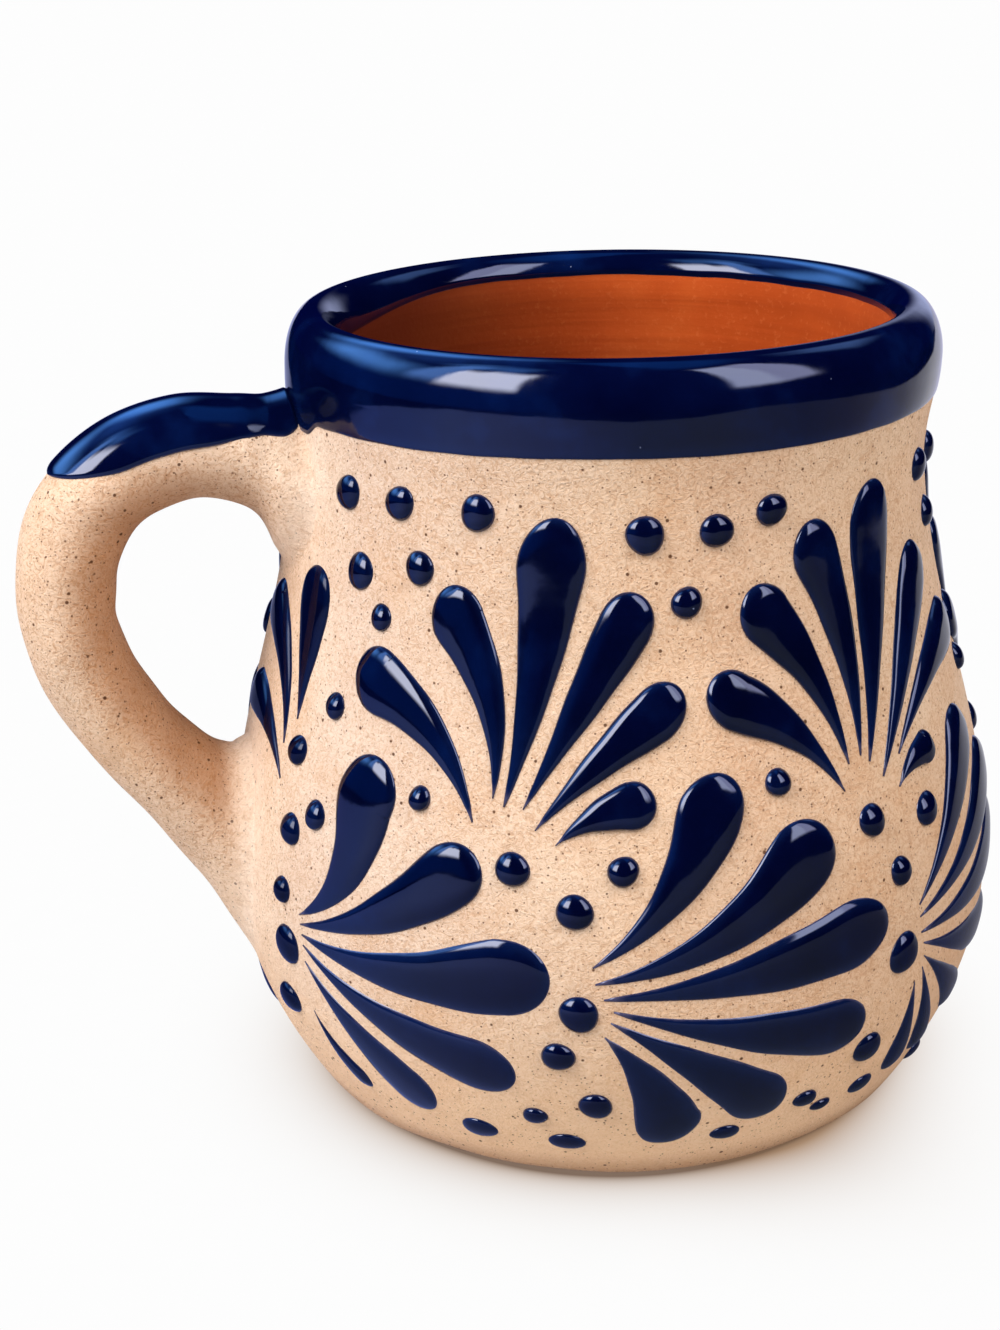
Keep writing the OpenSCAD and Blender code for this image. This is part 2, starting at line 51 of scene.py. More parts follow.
# ---------------------------------------------------------------- sizes, as in part.scad (mm)
BODY_H, BASE_R, BASE_ROUND = 100.0, 38.5, 2.4
BELLY_R, BELLY_Z, NECK_R, NECK_Z = 48.8, 28.0, 38.95, 84.0
WALL_T, FLOOR_T, FLOOR_ROUND = 5.2, 7.0, 11.0
RIM_ROLL, RIM_ROUND_H = 0.7, 5.9
SLIP_T, SLIP_FOOT, GLAZE_T = 0.4, 1.2, 0.55
BAND_H, LIP_H = 10.0, 3.2
HANDLE_REACH, HANDLE_Z, HANDLE_LOW_Z = 26.6, 85.0, 32.5
COIL_T, COIL_W = 12.2, 13.0
DIP_Z, DIP_FALL = 87.0, 3.6
PETAL_W, PETAL_H, DOT_W, DOT_H = 8.0, 1.3, 4.0, 1.3
BELLY_POWER, STEM_SHARE, DOME_POWER = 1.95, 0.07, 0.6
SWELL_POWER, ROUND_POWER = 1.45, 1.3
CLAY_TOP = BODY_H - GLAZE_T
RIM_Z = CLAY_TOP - RIM_ROUND_H
RIM_R = NECK_R + RIM_ROLL
THROAT_R = NECK_R - WALL_T
RIM_MID_R = (RIM_R + THROAT_R) / 2
RIM_HALF_W = (RIM_R - THROAT_R) / 2
BAND_Z = BODY_H - BAND_H
LIP_Z = BODY_H - LIP_H

# ---------------------------------------------------------------- looks only (mm and degrees)
RELIEF = 0.86                            # the drops sag a little as the glaze melts
DROP_SINK, SKIRT_SINK = 0.04, 0.25       # how deep the drops and their skirts sit in the slip
RIM_LEAN, LEAN_X, LEAN_Y = 0.9, 0.978, 0.209    # how far the rim leans, and which way
HANDLE_TURN = -90                        # the side of the wall that carries the handle
DEGREES, EULER = 57.29578, 2.71828       # degrees in a radian, and e

# rows of the handle's loop: reach out, height (both as shares), lean, thickness, width
HANDLE = np.array([
    (0.04, 0.905, 95, 2.00, 1.72), (0.12, 0.941, 90, 1.42, 1.24), (0.25, 0.981, 85, 1.11, 1.04),
    (0.49, 1.000, 76, 1.03, 1.00), (0.74, 0.964, 64, 1.04, 1.00), (0.92, 0.884, 48, 1.05, 1.00),
    (1.00, 0.779, 32, 1.04, 1.00), (0.99, 0.657, 10, 0.99, 1.00), (0.90, 0.539, -8, 0.98, 1.00),
    (0.73, 0.415, -27, 0.95, 1.00), (0.52, 0.299, -43, 0.96, 1.00), (0.30, 0.190, -60, 1.09, 1.03),
    (0.13, 0.105, -75, 1.43, 1.12), (0.01, 0.040, -86, 1.95, 1.32), (-0.08, 0.000, -91, 2.46, 1.60),
])

# turn of each column of fans, then the petals of each kind of fan:
# turn and height of the point, turn and height of the head, width, bow, length of the cap
COLUMNS = [-67, -19, 30, 86, 137, 188, 240]
UPPER_SIDE = [
    (-3.4, 0.546, -4.4, 0.690, 0.90, 0.00, 1.05), (-6.2, 0.510, -20.0, 0.648, 0.78, -0.13, 1.10),
    (-5.3, 0.469, -22.2, 0.535, 0.68, -0.12, 1.10),
]
UPPER_ROUND = [
    (-15.0, 0.491, -33.3, 0.623, 0.93, -0.13, 1.13), (-12.2, 0.520, -19.8, 0.707, 0.86, -0.10, 1.18),
    (-10.5, 0.512, -4.7, 0.771, 1.01, -0.02, 1.48), (-7.7, 0.511, 6.9, 0.709, 0.83, 0.01, 1.23),
    (-5.9, 0.489, 11.1, 0.612, 0.76, 0.04, 1.43), (-3.0, 0.474, 7.8, 0.518, 0.68, 0.08, 0.93),
]
UPPER_TALL = [
    (-8.9, 0.500, -25.2, 0.620, 0.83, -0.09, 1.18), (-7.4, 0.528, -18.9, 0.707, 0.83, -0.08, 1.18),
    (-4.9, 0.533, -8.7, 0.765, 0.85, -0.07, 1.23), (-3.3, 0.523, 4.5, 0.786, 0.96, -0.03, 1.28),
    (-1.0, 0.501, 16.7, 0.701, 0.84, 0.01, 1.30), (3.3, 0.518, 26.5, 0.619, 0.80, 0.08, 1.20),
    (2.1, 0.482, 10.0, 0.510, 0.51, 0.10, 1.00),
]
UPPER_BACK = [
    (-9.0, 0.499, -18.2, 0.607, 0.74, -0.12, 1.10), (-7.4, 0.526, -15.2, 0.698, 0.78, -0.09, 1.10),
    (-4.9, 0.533, -6.9, 0.768, 0.84, -0.05, 1.15), (-2.5, 0.525, 6.2, 0.774, 0.88, 0.01, 1.20),
    (0.5, 0.505, 15.5, 0.694, 0.84, 0.06, 1.20), (2.6, 0.498, 20.0, 0.602, 0.78, 0.10, 1.15),
    (1.5, 0.474, 9.2, 0.502, 0.50, 0.08, 1.00),
]
UPPER_HANDLE = [
    (-9.0, 0.500, -19.5, 0.604, 0.80, -0.12, 1.10), (-7.4, 0.526, -15.5, 0.698, 0.82, -0.09, 1.10),
    (-4.9, 0.533, -6.9, 0.768, 0.84, -0.05, 1.15), (-2.5, 0.528, 3.9, 0.772, 0.80, 0.00, 1.20),
    (0.7, 0.520, 9.2, 0.676, 0.66, 0.05, 1.20), (1.9, 0.510, 12.0, 0.586, 0.62, 0.10, 1.10),
]
LOWER_ROUND = [
    (3.4, 0.322, 14.7, 0.489, 1.12, -0.15, 1.23), (3.6, 0.310, 30.0, 0.427, 0.98, -0.06, 1.08),
    (3.9, 0.297, 37.4, 0.316, 1.18, -0.04, 1.28), (4.1, 0.284, 33.5, 0.194, 0.98, -0.03, 1.28),
    (4.3, 0.263, 20.9, 0.132, 0.88, 0.00, 1.23), (4.1, 0.192, 10.5, 0.116, 0.34, -0.06, 1.60),
]
LOWER_BROAD = [
    (2.1, 0.336, 18.5, 0.503, 0.97, -0.08, 1.23), (2.4, 0.316, 31.5, 0.437, 1.08, -0.07, 1.13),
    (3.5, 0.297, 38.9, 0.332, 1.09, -0.01, 1.38), (4.8, 0.282, 37.1, 0.217, 0.99, -0.02, 1.20),
    (4.4, 0.268, 25.2, 0.143, 0.97, 0.02, 1.38), (3.6, 0.249, 12.7, 0.116, 1.06, 0.06, 0.93),
]
LOWER_FULL = [
    (3.8, 0.334, 22.1, 0.490, 0.95, -0.03, 1.10), (3.9, 0.318, 32.7, 0.418, 1.00, -0.04, 1.05),
    (4.2, 0.297, 38.0, 0.322, 1.10, -0.03, 1.20), (4.9, 0.281, 31.5, 0.215, 0.95, -0.02, 1.20),
    (5.2, 0.263, 20.3, 0.158, 0.66, 0.00, 1.20), (5.1, 0.248, 12.1, 0.122, 0.56, 0.00, 1.20),
    (3.6, 0.232, 5.2, 0.118, 0.59, 0.00, 1.10),
]
LOWER_HANDLE = [
    (1.9, 0.338, 8.2, 0.482, 0.78, -0.12, 1.15), (2.9, 0.312, 12.8, 0.394, 0.52, -0.04, 1.10),
    (3.4, 0.297, 12.6, 0.322, 0.60, -0.03, 1.20), (3.6, 0.279, 12.6, 0.238, 0.52, 0.00, 1.20),
    (2.8, 0.254, 29.0, 0.118, 0.72, -0.05, 1.10), (2.2, 0.240, 13.5, 0.112, 0.80, 0.03, 1.10),
    (0.6, 0.232, 2.0, 0.124, 0.66, 0.05, 1.00),
]
# dots beside each column: turn, height, width
SIDE_DOTS = [
    (3.7, 0.827, 1.05), (16.2, 0.829, 1.02), (31.1, 0.830, 1.05), (7.7, 0.740, 1.08),
    (20.6, 0.759, 0.98), (13.5, 0.695, 0.78), (6.0, 0.581, 0.78), (-1.5, 0.513, 0.92),
    (5.4, 0.451, 0.88), (-0.2, 0.420, 0.98), (24.5, 0.507, 0.72), (-1.1, 0.341, 0.82),
    (0.0, 0.272, 1.25), (-2.5, 0.187, 1.10), (31.7, 0.085, 1.20),
]
ROUND_DOTS = [
    (10.3, 0.810, 1.10), (22.0, 0.810, 0.98), (31.6, 0.826, 0.95), (16.8, 0.733, 0.90),
    (29.1, 0.527, 0.80), (-8.9, 0.444, 1.00), (-0.3, 0.400, 1.05), (6.2, 0.446, 0.88),
    (0.2, 0.278, 1.15), (-2.7, 0.220, 0.98), (2.2, 0.146, 1.00), (-6.7, 0.124, 0.80),
    (-2.4, 0.080, 1.10), (22.2, 0.083, 0.95), (34.9, 0.112, 0.85), (38.9, 0.089, 0.72),
]
TALL_DOTS = [
    (24.4, 0.822, 1.05), (35.5, 0.825, 1.00), (29.8, 0.755, 0.95), (34.8, 0.560, 0.85),
    (-4.6, 0.458, 0.98), (7.7, 0.442, 1.02), (0.0, 0.387, 0.88), (0.2, 0.283, 1.30),
    (-4.4, 0.164, 1.10), (-1.8, 0.095, 1.05), (17.0, 0.075, 1.00), (31.0, 0.098, 0.95),
]
BACK_DOTS = [
    (15.0, 0.822, 1.00), (26.0, 0.825, 1.05), (37.0, 0.822, 0.98), (20.5, 0.752, 0.92),
    (31.5, 0.752, 0.95), (26.0, 0.690, 0.78), (25.7, 0.535, 0.82), (-8.9, 0.444, 1.00),
    (-0.3, 0.400, 1.05), (6.2, 0.446, 0.88), (0.2, 0.278, 1.15), (-2.7, 0.220, 0.98),
    (2.2, 0.146, 1.00), (-6.7, 0.124, 0.80), (-2.4, 0.080, 1.10), (22.2, 0.083, 0.95),
    (34.9, 0.112, 0.85), (38.9, 0.089, 0.72),
]
HANDLE_DOTS = [
    (-8.9, 0.444, 1.00), (-1.5, 0.400, 1.05), (0.2, 0.282, 1.15), (-5.2, 0.200, 0.98),
    (-7.0, 0.120, 0.95), (9.6, 0.838, 0.85), (5.0, 0.072, 0.90), (21.0, 0.080, 1.00),
]
UPPER = [UPPER_SIDE, UPPER_ROUND, UPPER_TALL, UPPER_BACK, UPPER_BACK, UPPER_BACK, UPPER_HANDLE]
LOWER = [LOWER_ROUND, LOWER_BROAD, LOWER_FULL, LOWER_BROAD, LOWER_BROAD, LOWER_BROAD, LOWER_HANDLE]
DOTS = [SIDE_DOTS, ROUND_DOTS, TALL_DOTS, BACK_DOTS, BACK_DOTS, BACK_DOTS, HANDLE_DOTS]
DOT_ROWS = [0, 0.25, 0.30, 0.62, 1]      # heights that part the four rows
DOT_NODES = ["foot_dots", "root_dots", "waist_dots", "neck_dots"]


# ---------------------------------------------------------------- the wall's curves (mm)
def ease(x):
    """0 to 1 as x goes from 0 to 1, level at both ends."""
    return (1 - np.cos(np.pi * np.clip(x, 0, 1))) / 2


def round_drop(x, r):
    """How much a rounded corner of radius r takes off at x from the edge."""
    x = np.clip(x, 0, r)
    return r - np.sqrt(np.maximum(0, r * r - (r - x) ** 2))


def clay_r(z):
    z = np.maximum(np.asarray(z, float), 0)
    low = BELLY_R - (BELLY_R - BASE_R) * np.maximum(0, 1 - z / BELLY_Z) ** BELLY_POWER \
        - round_drop(z, BASE_ROUND)
    mid = NECK_R + (BELLY_R - NECK_R) * ease((NECK_Z - z) / (NECK_Z - BELLY_Z))
    top = NECK_R + RIM_ROLL * ease((z - NECK_Z) / (RIM_Z - NECK_Z))
    return np.where(z < BELLY_Z, low, np.where(z < NECK_Z, mid, top))


def skin_r(z):
    return clay_r(z) + SLIP_T


def inside_r(z):
    z = np.asarray(z, float)
    return clay_r(np.minimum(z, NECK_Z)) - WALL_T - round_drop(z - FLOOR_T, FLOOR_ROUND)


def at_turn(turn, r, z):
    """Points at a turn, radius and height."""
    a = np.radians(turn)
    return np.stack([r * np.sin(a), -r * np.cos(a), z + 0 * a], axis=-1)


def turn_at(P):
    return np.degrees(np.arctan2(P[..., 0], -P[..., 1]))


def axis_r(P):
    return np.hypot(P[..., 0], P[..., 1])


def off_turn(turn, mid):
    """Turn from mid, -180 to 180."""
    return np.mod(turn - mid + 180, 360) - 180


# ---------------------------------------------------------------- mesh helpers
def rim_drift(verts):
    """The thrown rim sits a little to one side of the foot, as in the photo."""
    v = np.array(verts, float)
    k = RIM_LEAN * ease((v[:, 2] - 80) / 16)
    v[:, 0] += LEAN_X * k
    v[:, 1] -= LEAN_Y * k
    return v


def new_mesh(name, verts, faces, smooth=True):
    me = bpy.data.meshes.new(name)
    me.from_pydata([tuple(v) for v in rim_drift(verts) * MM], [], faces)
    me.validate()
    if smooth:
        me.polygons.foreach_set("use_smooth", [True] * len(me.polygons))
    me.update()
    ob = bpy.data.objects.new(name, me)
    bpy.context.collection.objects.link(ob)
    return ob


def attribute(ob, name, values):
    """A value for each point, for the materials to read."""
    at = ob.data.attributes.new(name, "FLOAT", "POINT")
    at.data.foreach_set("value", np.asarray(values, float).ravel())


def grid_faces(rows, cols, wrap_cols):
    out = []
    for i in range(rows - 1):
        for j in range(cols if wrap_cols else cols - 1):
            a = i * cols + j
            b = i * cols + (j + 1) % cols
            out.append((a, b, b + cols, a + cols))
    return out


def revolve(name, profile, segs=360, wobble=None):
    """Closed skin turned from a profile of (r, z) points; a profile point on the axis is a pole."""
    turns = np.arange(segs) * 360.0 / segs
    verts, rings = [], []
    for r, z in profile:
        if r < 1e-6:
            rings.append([len(verts)])
            verts.append((0, 0, z))
            continue
        zz = z + (wobble(turns, z) if wobble else 0 * turns)
        p = at_turn(turns, r, zz)
        rings.append(list(range(len(verts), len(verts) + segs)))
        verts.extend(map(tuple, p))
    faces = []
    pairs = list(zip(rings[:-1], rings[1:]))
    if len(rings[0]) > 1 and len(rings[-1]) > 1:
        pairs.append((rings[-1], rings[0]))
    for a, b in pairs:
        for j in range(segs):
            k = (j + 1) % segs
            if len(a) == 1:
                faces.append((a[0], b[k], b[j]))
            elif len(b) == 1:
                faces.append((a[j], a[k], b[0]))
            else:
                faces.append((a[j], a[k], b[k], b[j]))
    return new_mesh(name, verts, faces)


def ring_noise(turns, seed, low, n=8):
    """Smooth noise round the mug, about -1 to 1: n waves, the longest low times round."""
    rng = random.Random(seed)
    total = 0
    for k in range(n):
        amp = rng.uniform(0.4, 1.0) / (k + 1) ** 0.6
        phase = rng.uniform(0, 2 * math.pi)
        total = total + amp * np.sin(np.radians(turns) * (low + 2 * k) + phase)
    return total / 2.2


# ---------------------------------------------------------------- node helpers
class Nodes:
    """Short calls for building a node tree."""

    def __init__(self, name, world=False):
        self.mat = bpy.data.worlds.new(name) if world else bpy.data.materials.new(name)
        self.mat.use_nodes = True
        self.t = self.mat.node_tree
        self.t.nodes.clear()
        self.out = self.t.nodes.new("ShaderNodeOutputWorld" if world else "ShaderNodeOutputMaterial")
        self.coord = self.t.nodes.new("ShaderNodeTexCoord").outputs["Generated" if world else "Object"]
        if not world:
            self.bsdf = self.t.nodes.new("ShaderNodeBsdfPrincipled")
            self.t.links.new(self.bsdf.outputs[0], self.out.inputs[0])

    def link(self, a, b):
        self.t.links.new(a, b)

    def _set(self, sock, v):
        if isinstance(v, bpy.types.NodeSocket):
            self.link(v, sock)
        else:
            sock.default_value = v

    def mapped(self, scale):
        n = self.t.nodes.new("ShaderNodeMapping")
        n.inputs["Scale"].default_value = scale
        self.link(self.coord, n.inputs["Vector"])
        return n.outputs[0]

    def noise(self, scale, detail, rough, vec=None, distort=0.0):
        n = self.t.nodes.new("ShaderNodeTexNoise")
        n.inputs["Scale"].default_value = scale
        n.inputs["Detail"].default_value = detail
        n.inputs["Roughness"].default_value = rough
        n.inputs["Distortion"].default_value = distort
        self.link(vec or self.coord, n.inputs["Vector"])
        return n.outputs["Fac"]

    def specks(self, scale, level, inner, outer):
        """Spots in the cells of a pattern whose own value is above level."""
        v = self.t.nodes.new("ShaderNodeTexVoronoi")
        v.inputs["Scale"].default_value = scale
        self.link(self.coord, v.inputs["Vector"])
        cell = self.t.nodes.new("ShaderNodeSeparateColor")
        self.link(v.outputs["Color"], cell.inputs[0])
        here = self.math("GREATER_THAN", cell.outputs[0], level)
        return self.times(here, self.smooth(v.outputs["Distance"], inner, outer, 1.0, 0.0))

    def ramp(self, fac, stops):
        n = self.t.nodes.new("ShaderNodeValToRGB")
        el = n.color_ramp.elements
        while len(el) < len(stops):
            el.new(0.5)
        for e, (p, c) in zip(el, stops):
            e.position = p
            e.color = (*c, 1)
        self.link(fac, n.inputs[0])
        return n.outputs[0]

    def math(self, op, a, b=0.0, c=None, clamp=False):
        n = self.t.nodes.new("ShaderNodeMath")
        n.operation = op
        n.use_clamp = clamp
        self._set(n.inputs[0], a)
        self._set(n.inputs[1], b)
        if c is not None:
            self._set(n.inputs[2], c)
        return n.outputs[0]

    def times(self, a, b):
        return self.math("MULTIPLY", a, b)

    def plus(self, a, b):
        return self.math("ADD", a, b)

    def minus(self, a, b, clamp=False):
        return self.math("SUBTRACT", a, b, clamp=clamp)

    def scaled(self, x, k, add):
        """x * k + add"""
        return self.math("MULTIPLY_ADD", x, k, add)

    def smooth(self, x, lo, hi, a=0.0, b=1.0):
        """From a to b as x goes from lo to hi, level at both ends."""
        n = self.t.nodes.new("ShaderNodeMapRange")
        n.interpolation_type = "SMOOTHSTEP"
        self._set(n.inputs[0], x)
        n.inputs[1].default_value = lo
        n.inputs[2].default_value = hi
        n.inputs[3].default_value = a
        n.inputs[4].default_value = b
        return n.outputs[0]

    def mix(self, fac, a, b, mode="MIX"):
        n = self.t.nodes.new("ShaderNodeMix")
        n.data_type = "RGBA"
        n.blend_type = mode
        self._set(n.inputs[0], fac)
        for s, v in ((n.inputs[6], a), (n.inputs[7], b)):
            self._set(s, (*v, 1) if isinstance(v, tuple) else v)
        return n.outputs[2]

    def slab(self, x, lo, hi, soft):
        """1 between lo and hi, with soft edges."""
        return self.times(self.smooth(x, lo - soft, lo + soft),
                          self.smooth(x, hi - soft, hi + soft, 1.0, 0.0))

    def turn_of(self):
        """Turn round the mug in degrees, -180 to 180, as in the tables."""
        xyz = self.xyz()
        return self.times(self.math("ARCTAN2", xyz[0], self.times(xyz[1], -1.0)), DEGREES)

    def around(self, stops):
        """Colours round the mug, by turn."""
        share = self.scaled(self.turn_of(), 1 / 360, 0.5)
        return self.ramp(share, [((a + 180) / 360, c) for a, c in stops])

    def attr(self, name):
        n = self.t.nodes.new("ShaderNodeAttribute")
        n.attribute_name = name
        return n.outputs["Fac"]

    def xyz(self):
        n = self.t.nodes.new("ShaderNodeSeparateXYZ")
        self.link(self.coord, n.inputs[0])
        return n.outputs

    def by_ray(self, path, plain, mirrored, seen):
        """Ends the tree: one shader for plain light, one for mirror images, one for the camera."""
        shader = plain
        for ray, other in (("Is Glossy Ray", mirrored), ("Is Camera Ray", seen)):
            n = self.t.nodes.new("ShaderNodeMixShader")
            self.link(path.outputs[ray], n.inputs[0])
            self.link(shader.outputs[0], n.inputs[1])
            self.link(other.outputs[0], n.inputs[2])
            shader = n
        self.link(shader.outputs[0], self.out.inputs[0])

    def bump(self, height, dist, strength, normal=None):
        n = self.t.nodes.new("ShaderNodeBump")
        n.inputs["Strength"].default_value = strength
        n.inputs["Distance"].default_value = dist
        self.link(height, n.inputs["Height"])
        if normal is not None:
            self.link(normal, n.inputs["Normal"])
        return n.outputs[0]


def srgb(r, g, b):
    """A colour from 0 to 255, as Blender's own linear values."""
    def f(c):
        c = c / 255
        return c / 12.92 if c <= 0.04045 else ((c + 0.055) / 1.055) ** 2.4
    return (f(r), f(g), f(b))


# ---------------------------------------------------------------- materials
def slip_material(name):
    """Sand-coloured slip; the handle's own attribute turns on its browner, more mottled skin, with painted
    light on its outer side and painted shade on the side towards the wall.
    """
    m = Nodes(name)
    b = m.bsdf
    worn_and_shaded, pale = m.attr("worn_and_shaded"), m.attr("pale")
    fine = m.noise(2400, 2, 0.6)
    worm = m.noise(1300, 2, 0.55, distort=2.2)
    grain = m.noise(700, 4, 0.62)
    soft = m.noise(75, 4, 0.6)
    broad = m.noise(24, 3, 0.5)
    base = m.ramp(soft, [(0.26, srgb(213, 175, 145)), (0.5, srgb(223, 188, 159)),
                         (0.74, srgb(231, 201, 174))])
    base = m.mix(m.times(m.smooth(broad, 0.42, 0.70, 0.12, 0.48), m.scaled(worn_and_shaded, 0.2, 0.6)),
                 base, srgb(206, 156, 112))    # ochre clouds
    base = m.mix(m.smooth(worm, 0.44, 0.62, 0.0, 0.36), base, srgb(240, 214, 190))
    base = m.mix(m.times(m.smooth(worm, 0.47, 0.34), m.scaled(worn_and_shaded, 0.34, 0.30)),
                 base, srgb(176, 128, 90))
    base = m.mix(m.times(m.smooth(grain, 0.55, 0.70), m.scaled(worn_and_shaded, 0.30, 0.28)),
                 base, srgb(182, 134, 94))
    base = m.mix(m.smooth(fine, 0.56, 0.70, 0.0, 0.34), base, srgb(160, 114, 76))
    # painted shade: the handle's side towards the wall darker and warmer
    base = m.mix(m.times(worn_and_shaded, m.attr("inner")), base, srgb(168, 112, 70))
    # painted light: warmer and paler towards the foot, for warm bounce light; painted shade: browner low
    # on the side away from the key light, and darkest at the bottom edge where the foot meets the floor
    z = m.xyz()[2]
    base = m.mix(m.smooth(z, 0.034, 0.004, 0.0, 0.58), base, srgb(246, 202, 158))
    aside = m.times(m.slab(m.turn_of(), 32, 110, 24), m.smooth(z, 0.060, 0.008, 0.0, 0.42))
    base = m.mix(aside, base, srgb(186, 138, 104))
    base = m.mix(m.smooth(z, 0.0060, 0.0012, 0.0, 0.55), base, srgb(160, 108, 72))
    # painted light: the handle's outer side paler, where the light falls on it
    outer = m.minus(0.14, m.times(m.attr("inner"), 0.4), clamp=True)
    base = m.mix(m.times(worn_and_shaded, outer), base, srgb(250, 226, 204))
    base = m.mix(m.smooth(m.noise(52, 3, 0.6), 0.56, 0.76, 0.0, 0.28), base, srgb(205, 146, 92))
    # painted light and shade round the mug: palest on the lit side beside the handle, darker and browner
    # towards the front and the right
    side_light_and_shade = m.around([
        (-180, (0.86, 0.78, 0.70)), (-100, (0.93, 0.86, 0.76)), (-86, (0.95, 0.88, 0.79)),
        (-74, (0.98, 0.96, 0.92)), (-60, (0.94, 0.93, 0.93)), (-42, (0.93, 0.90, 0.87)),
        (-25, (0.91, 0.86, 0.79)), (-9, (0.88, 0.79, 0.68)), (7, (0.85, 0.74, 0.63)),
        (30, (0.84, 0.74, 0.62)), (55, (0.86, 0.77, 0.66)), (80, (0.90, 0.82, 0.74)),
        (179, (0.86, 0.78, 0.70))])
    side_light_and_shade = m.mix(1.0, side_light_and_shade, (1.0, 1.08, 1.20), "MULTIPLY")
    base = m.mix(m.smooth(z, 0.006, 0.032, 0.30, 1.0), base, m.mix(1.0, base, side_light_and_shade, "MULTIPLY"))
    # grog and iron specks of several sizes, more of them on the handle
    for scale, size, level, dark in ((1150, 0.19, 0.668, 0.84), (1900, 0.24, 0.619, 0.66),
                                     (640, 0.17, 0.739, 0.92), (330, 0.100, 0.845, 0.95)):
        spots = m.specks(scale, m.scaled(worn_and_shaded, -0.20, level), size * 0.5, size)
        base = m.mix(m.times(spots, dark), base, srgb(84, 50, 28))
    # clay rubbed pale where the handle is smoothed into the wall
    base = m.mix(m.times(pale, m.smooth(grain, 0.30, 0.62, 0.55, 0.30)), base, srgb(243, 222, 204))
    m.link(base, b.inputs["Base Color"])
    m.link(m.smooth(grain, 0.3, 0.7, 0.66, 0.82), b.inputs["Roughness"])
    b.inputs["Specular IOR Level"].default_value = 0.14
    h = m.plus(m.times(grain, 0.7), m.times(worm, 0.9))
    h = m.plus(h, m.times(fine, 0.35))
    m.link(m.bump(soft, 0.0006, 0.25, m.bump(h, 0.00030, 0.7)), b.inputs["Normal"])
    return m.mat


def glaze_material(name, flecks, blue):
    """Cobalt glaze: flecks is the share of cells with a pale fleck, blue is 1 for the bluer dip."""
    m = Nodes(name)
    b = m.bsdf
    cloud = m.noise(110, 3, 0.55)
    deep = 0.78 + 0.22 * blue
    col = m.ramp(cloud, [(0.3, (0.0003, 0.0009, 0.012 * deep)),
                         (0.55, (0.0005, 0.0018 * deep, 0.0185 * deep)),
                         (0.8, (0.0010 + 0.0004 * blue, 0.0050 + 0.0026 * blue, 0.034 + 0.016 * blue))])
    # thin glaze at the edge of a drop lets the pale slip through
    edge_noise = m.noise(800, 2, 0.5)
    t = m.plus(m.attr("thick"), m.times(m.minus(edge_noise, 0.5), 0.14))
    col = m.mix(m.smooth(t, 0.60, 0.12, 0.0, 0.5), col, (0.004, 0.012, 0.060))
    col = m.mix(m.smooth(t, 0.16, 0.01, 0.0, 0.8), col, srgb(72, 68, 92))
    col = m.mix(m.times(m.specks(900, 1 - flecks, 0.04, 0.12), 0.55), col, srgb(150, 160, 190))
    m.link(col, b.inputs["Base Color"])
    # wiped duller where it is hard to reach beside the handle
    m.link(m.scaled(m.attr("dull"), -0.36, 0.5), b.inputs["Specular IOR Level"])
    m.link(m.smooth(m.noise(300, 2, 0.5), 0.3, 0.8, 0.05, 0.10), b.inputs["Roughness"])
    b.inputs["IOR"].default_value = 1.5
    h = m.plus(m.noise(90, 2, 0.5), m.times(m.noise(420, 2, 0.5), 0.10))
    m.link(m.bump(h, 0.0005, 0.20), b.inputs["Normal"])
    return m.mat


def terracotta_material(name):
    """Bare red clay with throwing rings."""
    m = Nodes(name)
    b = m.bsdf
    xyz = m.xyz()
    rings = m.noise(1.0, 3, 0.55, m.mapped((14, 14, 420)))
    soft = m.noise(45, 4, 0.55)
    fine = m.noise(1500, 3, 0.6)
    base = m.ramp(soft, [(0.3, srgb(160, 62, 20)), (0.55, srgb(182, 76, 28)), (0.75, srgb(198, 92, 38))])
    base = m.mix(m.smooth(rings, 0.42, 0.66, 0.0, 0.35), base, srgb(146, 54, 18))
    base = m.mix(m.smooth(fine, 0.55, 0.72, 0.0, 0.3), base, srgb(208, 112, 60))
    # painted shade: darker deep inside, and on the handle's side where the rim shades the inner wall
    aside = m.minus(m.times(xyz[0], LEAN_X), m.times(xyz[1], LEAN_Y))
    base = m.mix(m.smooth(xyz[2], 0.093, 0.072, 0.0, 0.62), base, srgb(96, 30, 8))
    base = m.mix(m.smooth(aside, 0.020, -0.030, 0.0, 0.92), base, srgb(74, 24, 6))
    m.link(base, b.inputs["Base Color"])
    b.inputs["Roughness"].default_value = 0.82
    b.inputs["Specular IOR Level"].default_value = 0.3
    h = m.plus(rings, m.times(fine, 0.25))
    m.link(m.bump(h, 0.0004, 0.35), b.inputs["Normal"])
    return m.mat


SLIP = slip_material("sand_slip_coat")
HANDLE_SLIP = slip_material("handle_slip_coat")
GLAZE = glaze_material("trailed_cobalt", 0.012, 0.0)
BAND = glaze_material("dipped_cobalt", 0.03, 1.0)
CLAY = terracotta_material("terracotta_clay")


def dress(ob, mat, slot, *nodes):
    ob.data.materials.clear()
    ob.data.materials.append(mat)
    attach(ob, "root")
    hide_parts(*nodes)
    return ob


